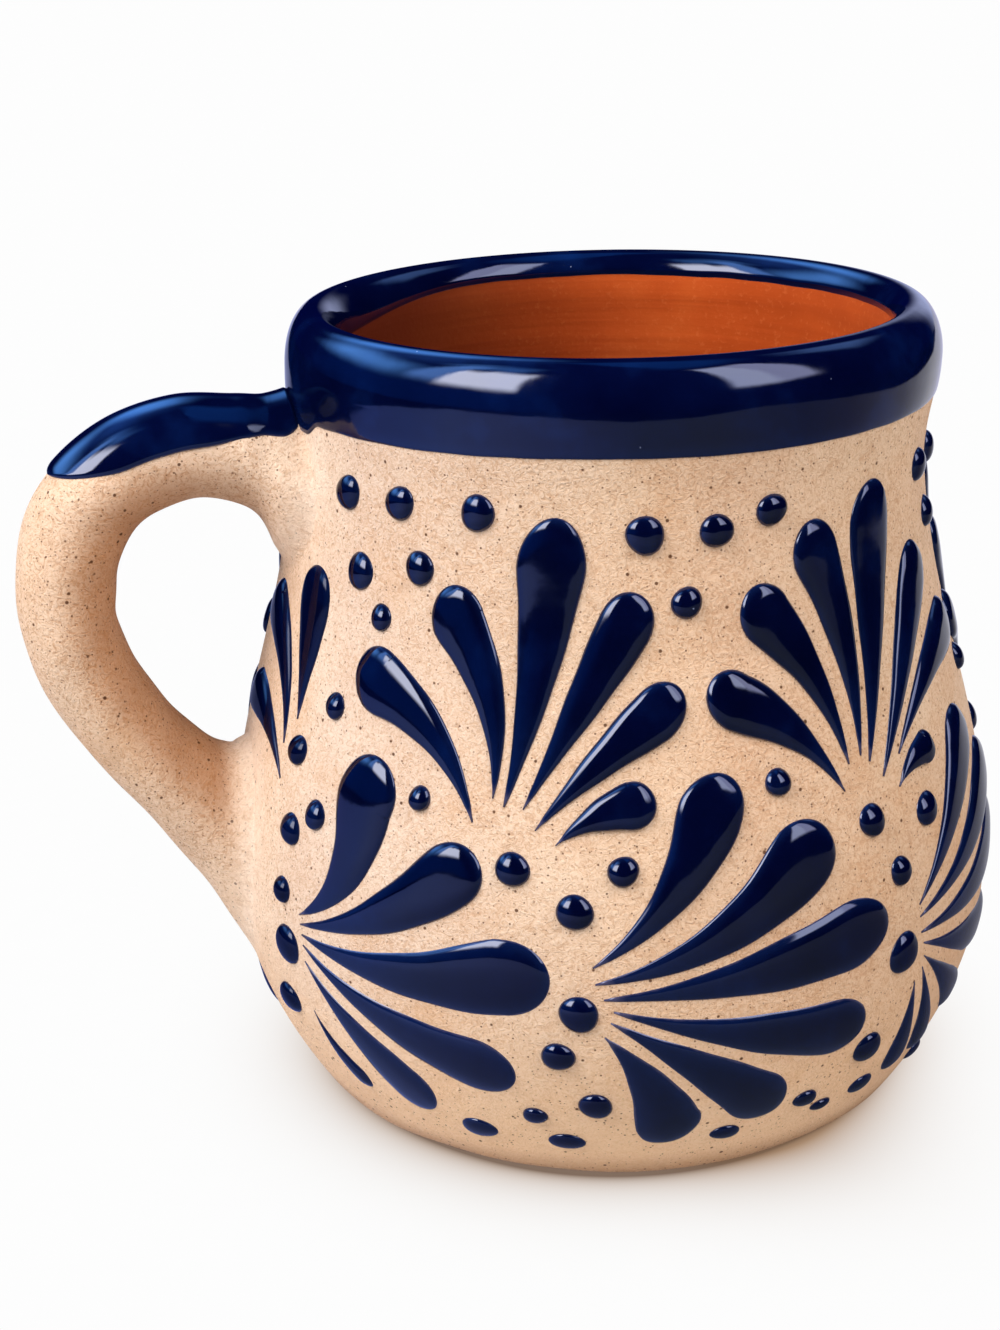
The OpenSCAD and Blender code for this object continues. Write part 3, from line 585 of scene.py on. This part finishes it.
# ---------------------------------------------------------------- clay body
def clay_body():
    prof = [(0.0, 0.0), (12.0, 0.0), (24.0, 0.0), (30.0, 0.0)]
    foot = [BASE_ROUND * (1 - math.cos(math.pi / 2 * i / 10)) for i in range(10)]
    prof += [(float(clay_r(z)), z) for z in foot]
    prof += [(float(clay_r(z)), z) for z in np.linspace(BASE_ROUND, RIM_Z, 60)]
    for i in range(1, 33):
        a = math.pi * i / 32
        prof.append((RIM_MID_R + RIM_HALF_W * math.cos(a), RIM_Z + RIM_ROUND_H * math.sin(a)))
    top = FLOOR_T + FLOOR_ROUND
    prof += [(float(inside_r(z)), z) for z in np.linspace(RIM_Z - 0.5, top, 60)]
    for i in range(1, 15):
        a = math.pi / 2 * i / 14
        h = FLOOR_ROUND * (1 - math.sin(a))
        prof.append((float(inside_r(FLOOR_T + h)), FLOOR_T + h))
    r_in = prof[-1][0]
    prof += [(r_in * k, FLOOR_T) for k in (0.8, 0.6, 0.4, 0.2)] + [(0.0, FLOOR_T)]
    ob = revolve("mug_clay_wall", prof)
    return dress(ob, CLAY, "terracotta", "clay_body")


# ---------------------------------------------------------------- slip coat
def slip_coat():
    zs = list(np.linspace(SLIP_FOOT, 6, 12)) + list(np.linspace(6.5, 92.2, 110))
    prof = [(float(clay_r(SLIP_FOOT)) - 0.05, SLIP_FOOT - 0.1)]
    prof += [(float(skin_r(z)) - (0.22 if i == 0 else 0.06 if i == 1 else 0), z) for i, z in enumerate(zs)]
    prof += [(float(clay_r(z)) - 0.05, z) for z in (92.2, 80, 60, 40, 28, 20, 12, 6, 3)]

    def foot_wobble(turns, z):
        fade = max(0.0, 1 - (z - SLIP_FOOT) / 3.0)
        return 0.25 * fade * ring_noise(turns, 5, 4)

    ob = revolve("mug_slip_coat", prof, wobble=foot_wobble)
    co = np.zeros(len(ob.data.vertices) * 3)
    ob.data.vertices.foreach_get("co", co)
    attribute(ob, "pale", 0.7 * rubbed(co.reshape(-1, 3) / MM))
    return dress(ob, SLIP, "sand_slip", "sand_slip")


# ---------------------------------------------------------------- dipped rim glaze
def rim_glaze():
    segs = 720
    turns = np.arange(segs) * 360.0 / segs
    line = 0.16 * ring_noise(turns, 11, 2, 7) + 0.05 * ring_noise(turns, 12, 30, 6)
    # lower than the band in the source, most of all in the corner beside the handle
    beside = np.abs(off_turn(turns, HANDLE_TURN))
    line = line - 0.42 - 0.45 * np.exp(-(beside / 45) ** 2) - 1.7 * ease((17.5 - beside) / 6.0)
    lip = 0.22 * ring_noise(turns, 13, 2, 7) + 0.06 * ring_noise(turns, 14, 26, 6)
    rings, thick = [], []
    # outside, from under the lower edge upwards
    for k, (dz, t) in enumerate([(0.05, -0.25), (0.0, -0.05), (0.03, 0.08), (0.12, 0.15), (0.3, 0.19),
                                 (0.6, 0.21), (1.0, 0.21), (1.6, 0.20), (2.4, 0.18)]):
        z = BAND_Z + dz + line * (1 - dz / 3.2)
        rings.append(at_turn(turns, skin_r(z) + t, z))
        thick.append(np.full(segs, max(0.0, t + 0.02) / 0.9 + dz * 0.22))
    for z in np.linspace(BAND_Z + 3.2, RIM_Z, 8)[:-1]:
        rings.append(at_turn(turns, clay_r(z) + GLAZE_T + 0.0 * turns, z + 0 * turns))
        thick.append(np.full(segs, 1.0))
    # the dip ran further down the throat on the handle's side
    depth = BODY_H - LIP_Z + 2.4 * np.exp(-(off_turn(turns, -118) / 27.0) ** 2) + lip * 0.7
    lip_a = 180 - np.degrees(np.arcsin((BODY_H - depth - RIM_Z) / RIM_ROUND_H))
    n = 44
    for i in range(n + 1):
        f = i / n
        t = GLAZE_T * min(1.0, math.sqrt(max(0.0, 1 - ((f - 0.93) / 0.07) ** 2)) if f > 0.93 else 1.0)
        a = np.radians(lip_a * f)
        t = t - 0.1 if f == 1 else t
        rings.append(at_turn(turns, RIM_MID_R + (RIM_HALF_W + t) * np.cos(a),
                             RIM_Z + (RIM_ROUND_H + t - 0.02) * np.sin(a)))
        thick.append(np.full(segs, 1.0 if f < 0.93 else max(0.0, (1 - f) / 0.07)))
    verts = np.concatenate(rings)
    ob = new_mesh("mug_rim_glaze", verts, grid_faces(len(rings), segs, True))
    attribute(ob, "thick", np.concatenate(thick))
    attribute(ob, "dull", beside_handle(verts))
    return dress(ob, BAND, "rim_glaze", "rim_glaze")


# ---------------------------------------------------------------- handle
def row(t):
    """The handle's row of sizes at place t, on a Catmull-Rom curve through the table."""
    t = np.asarray(t, float)
    rows = np.vstack([2 * HANDLE[0] - HANDLE[1], HANDLE, 2 * HANDLE[-1] - HANDLE[-2],
                      2 * HANDLE[-1] - HANDLE[-2]])
    i = np.clip(np.floor(t).astype(int), 0, len(HANDLE) - 2)
    u = (t - i)[..., None]
    a, b, c, d = rows[i], rows[i + 1], rows[i + 2], rows[i + 3]
    return (2 * b + (c - a) * u + (2 * a - 5 * b + 4 * c - d) * u ** 2
            + (3 * b - a - 3 * c + d) * u ** 3) / 2


def soft_max(a, b, k):
    """The larger of a and b, with the corner between them rounded by k."""
    h = np.clip(0.5 + (a - b) / (2 * k), 0, 1)
    return b + (a - b) * h + k * h * (1 - h)


LAST = len(HANDLE) - 1


def coil_z(q):
    """Height of the coil's middle, for a row of the table."""
    return HANDLE_LOW_Z + (HANDLE_Z - HANDLE_LOW_Z) * q[..., 1]


def wall_r(z):
    """The wall that the handle is pressed onto, with the rim's roll."""
    up = np.clip((z - RIM_Z) / RIM_ROUND_H, 0, 0.98)
    return skin_r(z) - RIM_HALF_W * (1 - np.sqrt(1 - up ** 2))


def handle_skin(t, phi):
    """Points of the handle's skin (mm) for places t and section angles phi in radians."""
    t, phi = np.broadcast_arrays(np.asarray(t, float), np.asarray(phi, float))
    q = row(t)
    mid_z = coil_z(q)
    # the upper side of the first joint spreads less, as the glaze fills its corner
    over = ease(np.cos(phi) * 1.5 + 0.1) * (t < 4)
    half_t = COIL_T * (q[..., 3] - 0.13 * over * np.maximum(0, q[..., 3] - 1.42)) / 2
    # the outer side of the last joint runs out thicker
    half_t = half_t + 1.7 * ease(np.cos(phi) * 1.5) * ease((t - LAST + 1.8) / 1.8)
    lean = np.radians(q[..., 2])
    x = skin_r(mid_z) + HANDLE_REACH * q[..., 0] + half_t * np.cos(phi) * np.cos(lean)
    y = COIL_W * (q[..., 4] - 0.72 * over * np.maximum(0, q[..., 4] - 1.06)) / 2 * np.sin(phi)
    z = mid_z + half_t * np.cos(phi) * np.sin(lean)
    end = np.minimum(t, LAST - t)
    wall = np.sqrt(np.maximum(0, (wall_r(z) - 0.12) ** 2 - y * y))
    free = soft_max(x, wall + 0.30, 1.0)
    w = ease(np.clip(end / 0.9, 0, 1))
    out = wall * (1 - w) + free * w
    return np.stack([-out, -y, z], axis=-1)


def handle_normals(t, phi):
    step = 0.03
    a = handle_skin(np.minimum(t + step, LAST), phi) - handle_skin(np.maximum(t - step, 0), phi)
    b = handle_skin(t, phi + step) - handle_skin(t, phi - step)
    n = np.cross(a, b)
    return n / np.linalg.norm(n, axis=-1, keepdims=True)


def beside_handle(P):
    """1 on the wall close beside the handle, for points (mm)."""
    beside = np.abs(off_turn(turn_at(P), HANDLE_TURN))
    return ease((34 - beside) / 16) * ease((97.5 - P[..., 2]) / 2)


def rubbed(P):
    """1 where the clay is rubbed pale round the two joints, for points (mm)."""
    across = np.abs(off_turn(turn_at(P), HANDLE_TURN)) * np.pi / 180 * skin_r(P[..., 2])
    stand = axis_r(P) - skin_r(P[..., 2])
    near = ease(1 - (stand - 0.5) / 4.0)
    total = 0
    for mid_z, half_w, half_h in ((83.5, 11.5, 10.5), (34.5, 10.5, 15.0)):
        d = np.hypot(across / half_w, (P[..., 2] - mid_z) / half_h)
        total = total + ease(1 - np.abs(d - 0.95) / 0.42) * near
    return np.clip(total, 0, 1) * (P[..., 2] < 89.0)


def handle():
    rings, sides = 230, 96
    share = np.linspace(0, 1, rings)
    t = LAST * (share - 0.72 * np.sin(2 * np.pi * share) / (2 * np.pi))
    phi = np.arange(sides) * 2 * np.pi / sides
    P = handle_skin(t[:, None], phi[None, :])
    # a hand-pulled coil is never quite even
    N = handle_normals(t[:, None], phi[None, :])
    lump = (0.10 * np.sin(2.1 * t[:, None] + 1.3) * np.cos(phi[None, :] * 2 + 0.7)
            + 0.06 * np.sin(4.3 * t[:, None] + 2.0 + 3 * phi[None, :]))
    fade = ease(np.minimum(t, LAST - t) / 2.0)[:, None]
    under = 0.45 * ease(P[..., 2] - dip_line(t)[:, None] - 0.4)    # makes room for the glaze
    P = P + N * (lump * fade - 0.05 * fade - under)[..., None]
    ob = new_mesh("mug_handle", P.reshape(-1, 3), grid_faces(rings, sides, True))
    stand = axis_r(P) - skin_r(P[..., 2])
    # away from the wall: the handle's browner, more mottled skin, which also turns on its painted light
    # and shade
    attribute(ob, "worn_and_shaded", ease(stand / 5.0))
    attribute(ob, "pale", rubbed(P))
    # painted shade: the side towards the wall is painted browner and darker, for the shade and warm bounce
    # light that the wall gives it
    turned = ease((0.88 - np.cos(phi - 0.35)) / 1.2)[None, :]
    along = (0.45 + 0.55 * ease((t - 2.2) / 2.5))[:, None]
    attribute(ob, "inner", 0.74 * (turned * along) * fade)
    return dress(ob, HANDLE_SLIP, "handle_clay", "handle")


def dip_line(t):
    """Height of the glaze's lower edge along the handle, with the hook it has in the photo."""
    out = row(t)[..., 0]
    hook = 0.85 * ease(out / 0.24) - 1.35 * ease((out - 0.50) / 0.42)
    return DIP_Z - DIP_FALL * out + hook + 2.2 * (1 - ease(np.clip(t / 0.7, 0, 1)))


def dip_angle(t):
    """How far round the coil that edge lies."""
    q = row(t)
    rise = COIL_T * q[..., 3] / 2 * np.sin(np.radians(q[..., 2]))
    return np.arccos(np.clip((dip_line(t) - coil_z(q)) / rise, -1, 1))


def handle_glaze():
    ts = np.linspace(1, 7, 2001)
    reach = float(ts[np.argmax(dip_angle(ts) <= 1e-6)])
    rings, cols = 120, 61
    share = np.linspace(0, 1, rings)
    t = reach * (1 - (1 - share) ** 1.35)
    w = dip_angle(t)
    wave = 0.010 * np.sin(3.1 * t + 1.0) + 0.005 * np.sin(8 * t + 0.4)
    q = np.sin(np.linspace(-1, 1, cols) * np.pi / 2)
    side = np.sign(q)[None, :]
    phi = q[None, :] * (w[:, None] + wave[:, None] * side * np.minimum(1, w[:, None] * 3))
    P = handle_skin(t[:, None], phi)
    N = handle_normals(t[:, None], phi)
    edge = np.minimum(1 - np.abs(q)[None, :], 1.0) * w[:, None] * COIL_W / 2
    tip = (reach - t)[:, None] * 5.0
    near = np.minimum(edge, tip)
    lift = -0.12 + 0.50 * np.sqrt(np.clip(1 - (1 - np.clip(near / 0.9, 0, 1)) ** 2, 0, 1))
    # it rises out of the glaze on the rim
    stand = axis_r(P) - wall_r(P[..., 2])
    up = ease((stand + 0.02) / 0.55)
    lift = lift * up - 0.12 * (1 - up)
    P = P + N * lift[..., None]
    ob = new_mesh("mug_handle_glaze", P.reshape(-1, 3), grid_faces(rings, cols, False))
    attribute(ob, "thick", np.clip(near / 1.1, 0, 1).reshape(-1))
    attribute(ob, "dull", 0.8 * ease((9 - stand) / 5))
    return dress(ob, BAND, "handle_glaze", "handle_glaze")


# ---------------------------------------------------------------- trailed petals and dots
def swell(s, wide):
    """Half width along a petal as a share: thin stem, widest at wide, round head."""
    t = np.minimum(1, s / wide)
    beyond = np.clip((s - wide) / (1 - wide), 0, 1)
    rise = (1 - (1 - t) ** ROUND_POWER) ** SWELL_POWER
    return (STEM_SHARE + (1 - STEM_SHARE) * rise) * np.sqrt(1 - beyond ** 2)


def petal_points(sizes, column, seed):
    """A domed drop on the wall: points, faces and how thick the glaze is."""
    ta, th, ha, hh, wd, bow, cap = sizes
    half_w = PETAL_W * wd / 2
    mid_r = float(skin_r(BODY_H * (th + hh) / 2))
    tip = np.array([mid_r * math.pi / 180 * (column + ta), BODY_H * th])
    wide = np.array([mid_r * math.pi / 180 * (column + ha), BODY_H * hh])
    run = float(np.linalg.norm(wide - tip))
    along = (wide - tip) / run
    aside = np.array([-along[1], along[0]])
    length = run + half_w * cap
    ws = run / length
    m, c = 46, 25    # rows and columns of points
    s = np.clip(1 - (1 - np.linspace(0, 1, m)) ** 1.7, 0, 0.9995)

    def middle(v):
        u = np.minimum(1, v / ws)
        return tip[None] + along[None] * (v * length)[:, None] \
            + aside[None] * (bow * run * 4 * u * (1 - u))[:, None]

    e = STEM_SHARE / 2
    way = middle(np.minimum(1, s + e)) - middle(np.maximum(0, s - e))
    way /= np.linalg.norm(way, axis=1, keepdims=True)
    side = np.stack([-way[:, 1], way[:, 0]], axis=1)
    q = np.sin(np.linspace(-1, 1, c) * np.pi / 2)
    rng = random.Random(seed)
    ph = [rng.uniform(0, 6.28) for _ in range(4)]
    wob = 1 + 0.025 * np.sin(9 * s + ph[0]) + 0.015 * np.sin(23 * s + ph[1])
    width = half_w * swell(s, ws) * wob * (0.4 + 0.6 * ease(s * length / 1.8))
    flat = middle(s)[:, None, :] + side[:, None, :] * (q[None, :] * width[:, None])[..., None]
    # height of the dome: rises steeply from the edge, then runs nearly level
    dist = (1 - np.abs(q))[None, :] * width[:, None]
    end = ((1 - s) * length)[:, None] + 0 * dist
    top = PETAL_H * swell(s, ws) ** DOME_POWER * 0.96
    # the drops low on the belly lie flatter, with softer edges
    low = ease((46 - flat[..., 1]) / 25)
    dome = (1 - np.abs(q)[None, :] ** 2.8) ** (0.52 + 0.42 * low)
    cap_in = np.sqrt(np.clip(1 - (1 - np.clip(end / 1.6, 0, 1)) ** 2, 0, 1))
    h = RELIEF * (1 - 0.34 * low) * top[:, None] * dome * (0.25 + 0.75 * cap_in)
    h = h * (1 + 0.05 * np.sin(5 * s + ph[2])[:, None])
    base = skin_r(flat[..., 1])
    P = at_turn(np.degrees(flat[..., 0] / mid_r), base + h - DROP_SINK, flat[..., 1])
    # the brush left little glaze at the point
    thick = np.clip(h / PETAL_H, 0, 1) * (0.04 + 0.96 * ease(s * length / 2.6))[:, None]
    # a skirt that ends inside the slip closes the drop all round
    ring = [(0, j) for j in range(c)] + [(i, c - 1) for i in range(1, m)] \
        + [(m - 1, j) for j in range(c - 2, -1, -1)] + [(i, 0) for i in range(m - 2, 0, -1)]
    skirt = [at_turn(np.degrees(flat[i, j, 0] / mid_r), base[i, j] - SKIRT_SINK, flat[i, j, 1])
             for i, j in ring]
    faces = grid_faces(m, c, False)
    n0, k = m * c, len(ring)
    for a in range(k):
        b = (a + 1) % k
        ia, ib = ring[a][0] * c + ring[a][1], ring[b][0] * c + ring[b][1]
        faces.append((ib, ia, n0 + a, n0 + b))
    verts = np.vstack([P.reshape(-1, 3), np.array(skirt).reshape(-1, 3)])
    return verts, faces, np.concatenate([thick.reshape(-1), np.zeros(k)])


def join_drops(name, parts, node):
    """One object from several drops of glaze."""
    verts, faces, thick, n = [], [], [], 0
    for v, f, t in parts:
        verts.append(v)
        faces += [tuple(i + n for i in q) for q in f]
        thick.append(t)
        n += len(v)
    ob = new_mesh(name, np.vstack(verts), faces)
    attribute(ob, "thick", np.concatenate(thick))
    attribute(ob, "dull", beside_handle(np.vstack(verts)))
    return dress(ob, GLAZE, "trailed_glaze", node)


def dot_points(turn, z, width, seed, flat):
    """A round drop; flat below 1 makes it lower and squashes it up and down."""
    rings, sides = 14, 40
    height = RELIEF * flat
    r = width / 2
    a = np.arange(sides) * 2 * np.pi / sides
    ph = random.Random(seed).uniform(0, 6.28)
    outline = 1 + 0.035 * np.cos(2 * a + ph) + 0.02 * np.cos(3 * a + 2 * ph)
    verts, thick = [], []
    for i in range(rings):
        f = math.sin(math.pi / 2 * (1 - i / rings))
        h = DOT_H * height * (1 - f ** 2.15) ** 0.6
        dx = r * f * outline * np.cos(a)
        dz = r * f * outline * np.sin(a) * flat
        zz = z + dz
        rr = skin_r(zz)
        verts.append(at_turn(turn + np.degrees(dx / rr), rr + h - DROP_SINK, zz))
        thick.append(np.full(sides, h / DOT_H))
    skirt = verts[0].copy()
    scale = (axis_r(skirt) - SKIRT_SINK) / axis_r(skirt)
    skirt[:, :2] *= scale[:, None]
    peak = skin_r(z) + DOT_H * height - DROP_SINK
    top = at_turn(np.array(float(turn)), peak, np.array(z)).reshape(1, 3)
    V = np.vstack([skirt] + verts + [top])
    faces = grid_faces(rings + 1, sides, True)
    n = rings * sides
    faces += [(n + j, n + (j + 1) % sides, len(V) - 1) for j in range(sides)]
    return V, faces, np.concatenate([np.zeros(sides)] + thick + [np.ones(1)])


def pattern():
    for c, turn in enumerate(COLUMNS):
        for kind, fans, seed in (("upper", UPPER, 5), ("lower", LOWER, 0)):
            node = "%s_plume_%d" % (kind, c + 1)
            parts = [petal_points(sizes, turn, 100 * c + 10 * i + seed)
                     for i, sizes in enumerate(fans[c])]
            join_drops("mug_" + node, parts, node)
    for k, node in enumerate(DOT_NODES):
        parts = []
        for c, turn in enumerate(COLUMNS):
            for i, (da, hs, w) in enumerate(DOTS[c]):
                if DOT_ROWS[k] < hs <= DOT_ROWS[k + 1]:
                    flat = 0.66 if hs < 0.1 else 0.80 if hs < 0.13 else 1.0
                    parts.append(dot_points(turn + da, BODY_H * hs, DOT_W * w,
                                            1000 + 50 * c + i, flat))
        join_drops("mug_" + node, parts, node)


clay_body()
slip_coat()
rim_glaze()
handle()
handle_glaze()
pattern()


# ---------------------------------------------------------------- floor, lights, camera
CAMERA_YAW, CAMERA_PITCH, CAMERA_ROLL = -2.923, 19.60, -1.304    # degrees, fitted to the photo
CAMERA_PLACE = (0, -269.355, 148.25)                             # mm, before PHOTO_TURN
PHOTO_TURN = -15                                                 # from the photo's frame to the part's
FOCAL_PIXELS, PHOTO_PIXELS, SENSOR = 2200, 1330, 36
LIGHTS_AIM = (0, 0, 0.06)                                        # m, the middle of the mug's side
AMBIENT = 0.09
PAPER = 0.9835                                                   # the backdrop's white


def camera_axes():
    """Right, up, forward and place of the photo's camera, in the part's frame."""
    yaw, pitch, roll = (math.radians(a) for a in (CAMERA_YAW, CAMERA_PITCH, CAMERA_ROLL))
    fw = Vector((math.sin(yaw) * math.cos(pitch), math.cos(yaw) * math.cos(pitch), -math.sin(pitch)))
    r = Vector((math.cos(yaw), -math.sin(yaw), 0.0))
    u = r.cross(fw)
    r2 = r * math.cos(roll) + u * math.sin(roll)
    u2 = u * math.cos(roll) - r * math.sin(roll)
    rot = Matrix.Rotation(math.radians(PHOTO_TURN), 3, "Z")
    return rot @ r2, rot @ u2, rot @ fw, rot @ Vector(CAMERA_PLACE)


def camera():
    right, up, fw, place = camera_axes()
    data = bpy.data.cameras.new("photo_camera")
    data.sensor_fit = "AUTO"
    data.sensor_width = SENSOR
    data.lens = FOCAL_PIXELS / PHOTO_PIXELS * SENSOR
    data.clip_start = 0.01
    data.clip_end = 20
    ob = bpy.data.objects.new("photo_camera", data)
    bpy.context.collection.objects.link(ob)
    m = Matrix((right, up, -fw)).transposed().to_4x4()
    m.translation = place * MM
    ob.matrix_world = m
    bpy.context.scene.camera = ob


def softbox(name, turn, elevation, dist, w, h, power):
    """An area light aimed at the mug, at a turn and elevation as seen from it."""
    data = bpy.data.lights.new(name, "AREA")
    data.shape = "RECTANGLE"
    data.size, data.size_y = w, h
    data.energy = power
    ob = bpy.data.objects.new(name, data)
    bpy.context.collection.objects.link(ob)
    t, e = math.radians(turn), math.radians(elevation)
    d = Vector((math.sin(t) * math.cos(e), -math.cos(t) * math.cos(e), math.sin(e)))
    ob.location = Vector(LIGHTS_AIM) + d * dist
    ob.rotation_euler = d.to_track_quat("Z", "Y").to_euler()
    ob.visible_glossy = False    # the glaze mirrors PANELS instead


def floor():
    n, rad = 96, 6000.0
    angles = [2 * math.pi * i / n for i in range(n)]
    verts = [(0, 0, 0)] + [(rad * math.cos(a), rad * math.sin(a), 0) for a in angles]
    faces = [(0, 1 + i, 1 + (i + 1) % n) for i in range(n)]
    ob = new_mesh("floor", verts, faces, smooth=False)
    m = Nodes("pale_floor")
    t = m.t
    xyz = m.xyz()
    turn = m.turn_of()
    away = m.math("SQRT", m.plus(m.times(xyz[0], xyz[0]), m.times(xyz[1], xyz[1])))
    path = t.nodes.new("ShaderNodeLightPath")
    # what the camera sees: white paper with a soft contact shadow, darker away from the light,
    # and a thin dark line under the foot
    reach = m.scaled(m.slab(turn, 6.0, 44.0, 22.0), 0.0022, 0.0047)
    soft = m.math("POWER", EULER, m.math("DIVIDE", m.minus(0.041, away), reach))
    line = m.math("POWER", EULER, m.math("DIVIDE", m.minus(0.0388, away), 0.0008))
    heavy = m.scaled(m.slab(turn, 8.0, 38.0, 20.0), 0.65, 0.88)
    depth = m.times(m.math("MINIMUM", soft, 1.7), heavy)
    near_line = m.scaled(m.slab(turn, -30.0, 6.0, 18.0), 0.30, 0.28)
    line = m.math("MINIMUM", m.times(line, near_line), 0.80)
    paper = m.noise(260, 3, 0.5)
    white = m.ramp(paper, [(0.3, (0.982, 0.982, 0.982)), (0.7, (0.985, 0.985, 0.985))])
    loss = m.mix(m.times(depth, 0.5), (0.0, 0.0, 0.0), (0.53, 0.69, 0.80))
    seen = t.nodes.new("ShaderNodeEmission")
    ground = m.mix(1.0, white, loss, "SUBTRACT")
    m.link(m.mix(line, ground, (0.13, 0.075, 0.045)), seen.inputs[0])
    # what the walls are lit by
    lit = t.nodes.new("ShaderNodeBsdfDiffuse")
    m.link(m.ramp(paper, [(0.3, (0.58, 0.58, 0.58)), (0.7, (0.62, 0.62, 0.62))]), lit.inputs[0])
    # what the glaze mirrors: a white sheet, bluer to the left, that ends in a dark room
    ends = [(-180, 0.0), (-160, 0.20), (-145, 0.268), (-130, 0.306), (-115, 0.213), (-100, 0.158),
            (-85, 0.105), (-70, 0.06), (-55, 0.06), (-40, 0.09), (-25, 0.12), (-10, 0.165),
            (5, 0.165), (20, 0.12), (35, 0.09), (50, 0.11), (65, 0.165), (80, 0.194),
            (95, 0.213), (110, 0.176), (125, 0.105), (140, 0.0)]
    dip = m.around([(a, (k, k, k)) for a, k in ends])
    lit_part = m.smooth(m.minus(m.math("DIVIDE", 0.095, away), dip), -0.008, 0.010)
    tone = m.around([
        (-180, (0.25, 0.27, 0.45)), (-145, (0.05, 0.06, 0.15)), (-115, (0.10, 0.13, 0.43)),
        (-85, (0.16, 0.24, 0.74)), (-68, (0.22, 0.30, 0.75)), (-50, (0.21, 0.27, 0.65)),
        (-25, (0.15, 0.18, 0.38)), (-5, (0.12, 0.15, 0.25)), (20, (0.12, 0.14, 0.19)),
        (50, (0.08, 0.09, 0.13)), (70, (0.10, 0.10, 0.14)), (100, (0.22, 0.22, 0.26)),
        (125, (0.42, 0.42, 0.47)), (155, (0.30, 0.30, 0.45))])
    sheet = t.nodes.new("ShaderNodeEmission")
    sheet.inputs[1].default_value = 2.0
    # painted shade: the mirrored sheet darker near the foot
    tone = m.mix(m.smooth(away, 0.045, 0.24, 0.45, 0.0), tone, (0.01, 0.01, 0.02))
    m.link(m.mix(lit_part, (0.0, 0.002, 0.02), tone), sheet.inputs[0])
    m.by_ray(path, lit, sheet, seen)
    ob.data.materials.append(m.mat)


# windows and panels that the glaze mirrors:
# turn from and to, elevation from and to, soft edges of both, colour
PANELS = [
    (279, 289, 22, 48, 2.5, 5.0, (11.5, 12.0, 15.0)),
    (289, 311, 22, 52, 2.5, 5.0, (11.5, 12.0, 15.0)),
    (28, 46, 20, 61, 2.5, 3.0, (5.2, 5.7, 8.3)),
    (46, 62, 20, 61, 2.5, 3.0, (3.7, 3.9, 6.2)),
    (266, 279, 24, 58, 4.0, 7.0, (1.2, 2.8, 7.4)),
    (216, 262, 22, 40, 12.0, 8.0, (0.8, 2.5, 6.9)),
    (180, 208, 32, 57, 14.0, 9.0, (0.6, 2.0, 5.8)),
    (256, 300, 54, 67, 8.0, 6.0, (0.4, 1.2, 3.4)),
    (190, 250, 44, 66, 20.0, 12.0, (0.10, 0.35, 1.4)),
    (230, 320, -4, 20, 18.0, 8.0, (0.0, 0.07, 0.5)),
    (98, 126, 36, 55, 6.0, 6.0, (0.4, 0.8, 2.0)),
    (20, 180, 68, 96, 18.0, 6.0, (0.03, 0.25, 1.2)),
    (138, 158, -12, 16, 8.0, 8.0, (0.70, 0.78, 1.20)),
]


def world():
    m = Nodes("studio", world=True)
    bpy.context.scene.world = m.mat
    t = m.t
    path = t.nodes.new("ShaderNodeLightPath")
    turn = m.turn_of()
    turn = m.plus(turn, m.times(m.math("LESS_THAN", turn, 0.0), 360.0))    # 0 to 360
    rise = m.times(m.math("ARCSINE", m.xyz()[2]), DEGREES)
    col = m.ramp(rise, [(0.0, (0.0, 0.001, 0.03)), (1.0, (0.0, 0.001, 0.05))])
    for a0, a1, e0, e1, sa, se, tint in PANELS:
        here = m.times(m.slab(turn, a0, a1, sa), m.slab(rise, e0, e1, se))
        col = m.mix(here, col, tint, "ADD")
    # a mirror image of a mirror image is dim
    twice = m.math("GREATER_THAN", path.outputs["Glossy Depth"], 1.5)
    col = m.mix(m.times(twice, 0.8), col, (0.0, 0.001, 0.02))

    def background(colour, strength):
        n = t.nodes.new("ShaderNodeBackground")
        n.inputs[0].default_value = (*colour, 1)
        n.inputs[1].default_value = strength
        return n

    room = background((0, 0, 0), 1.0)
    m.link(col, room.inputs[0])
    fill = background((1.0, 0.98, 0.96), AMBIENT)
    white = background((PAPER, PAPER, PAPER), 1.0)
    m.by_ray(path, fill, room, white)


camera()
floor()
world()
softbox("softbox_left", -70, 45, 1.2, 0.80, 0.75, 20.5)
softbox("softbox_right", 47, 45, 1.2, 0.80, 0.75, 13.5)
bpy.context.scene.view_settings.view_transform = "Standard"

bpy.context.view_layer.update()
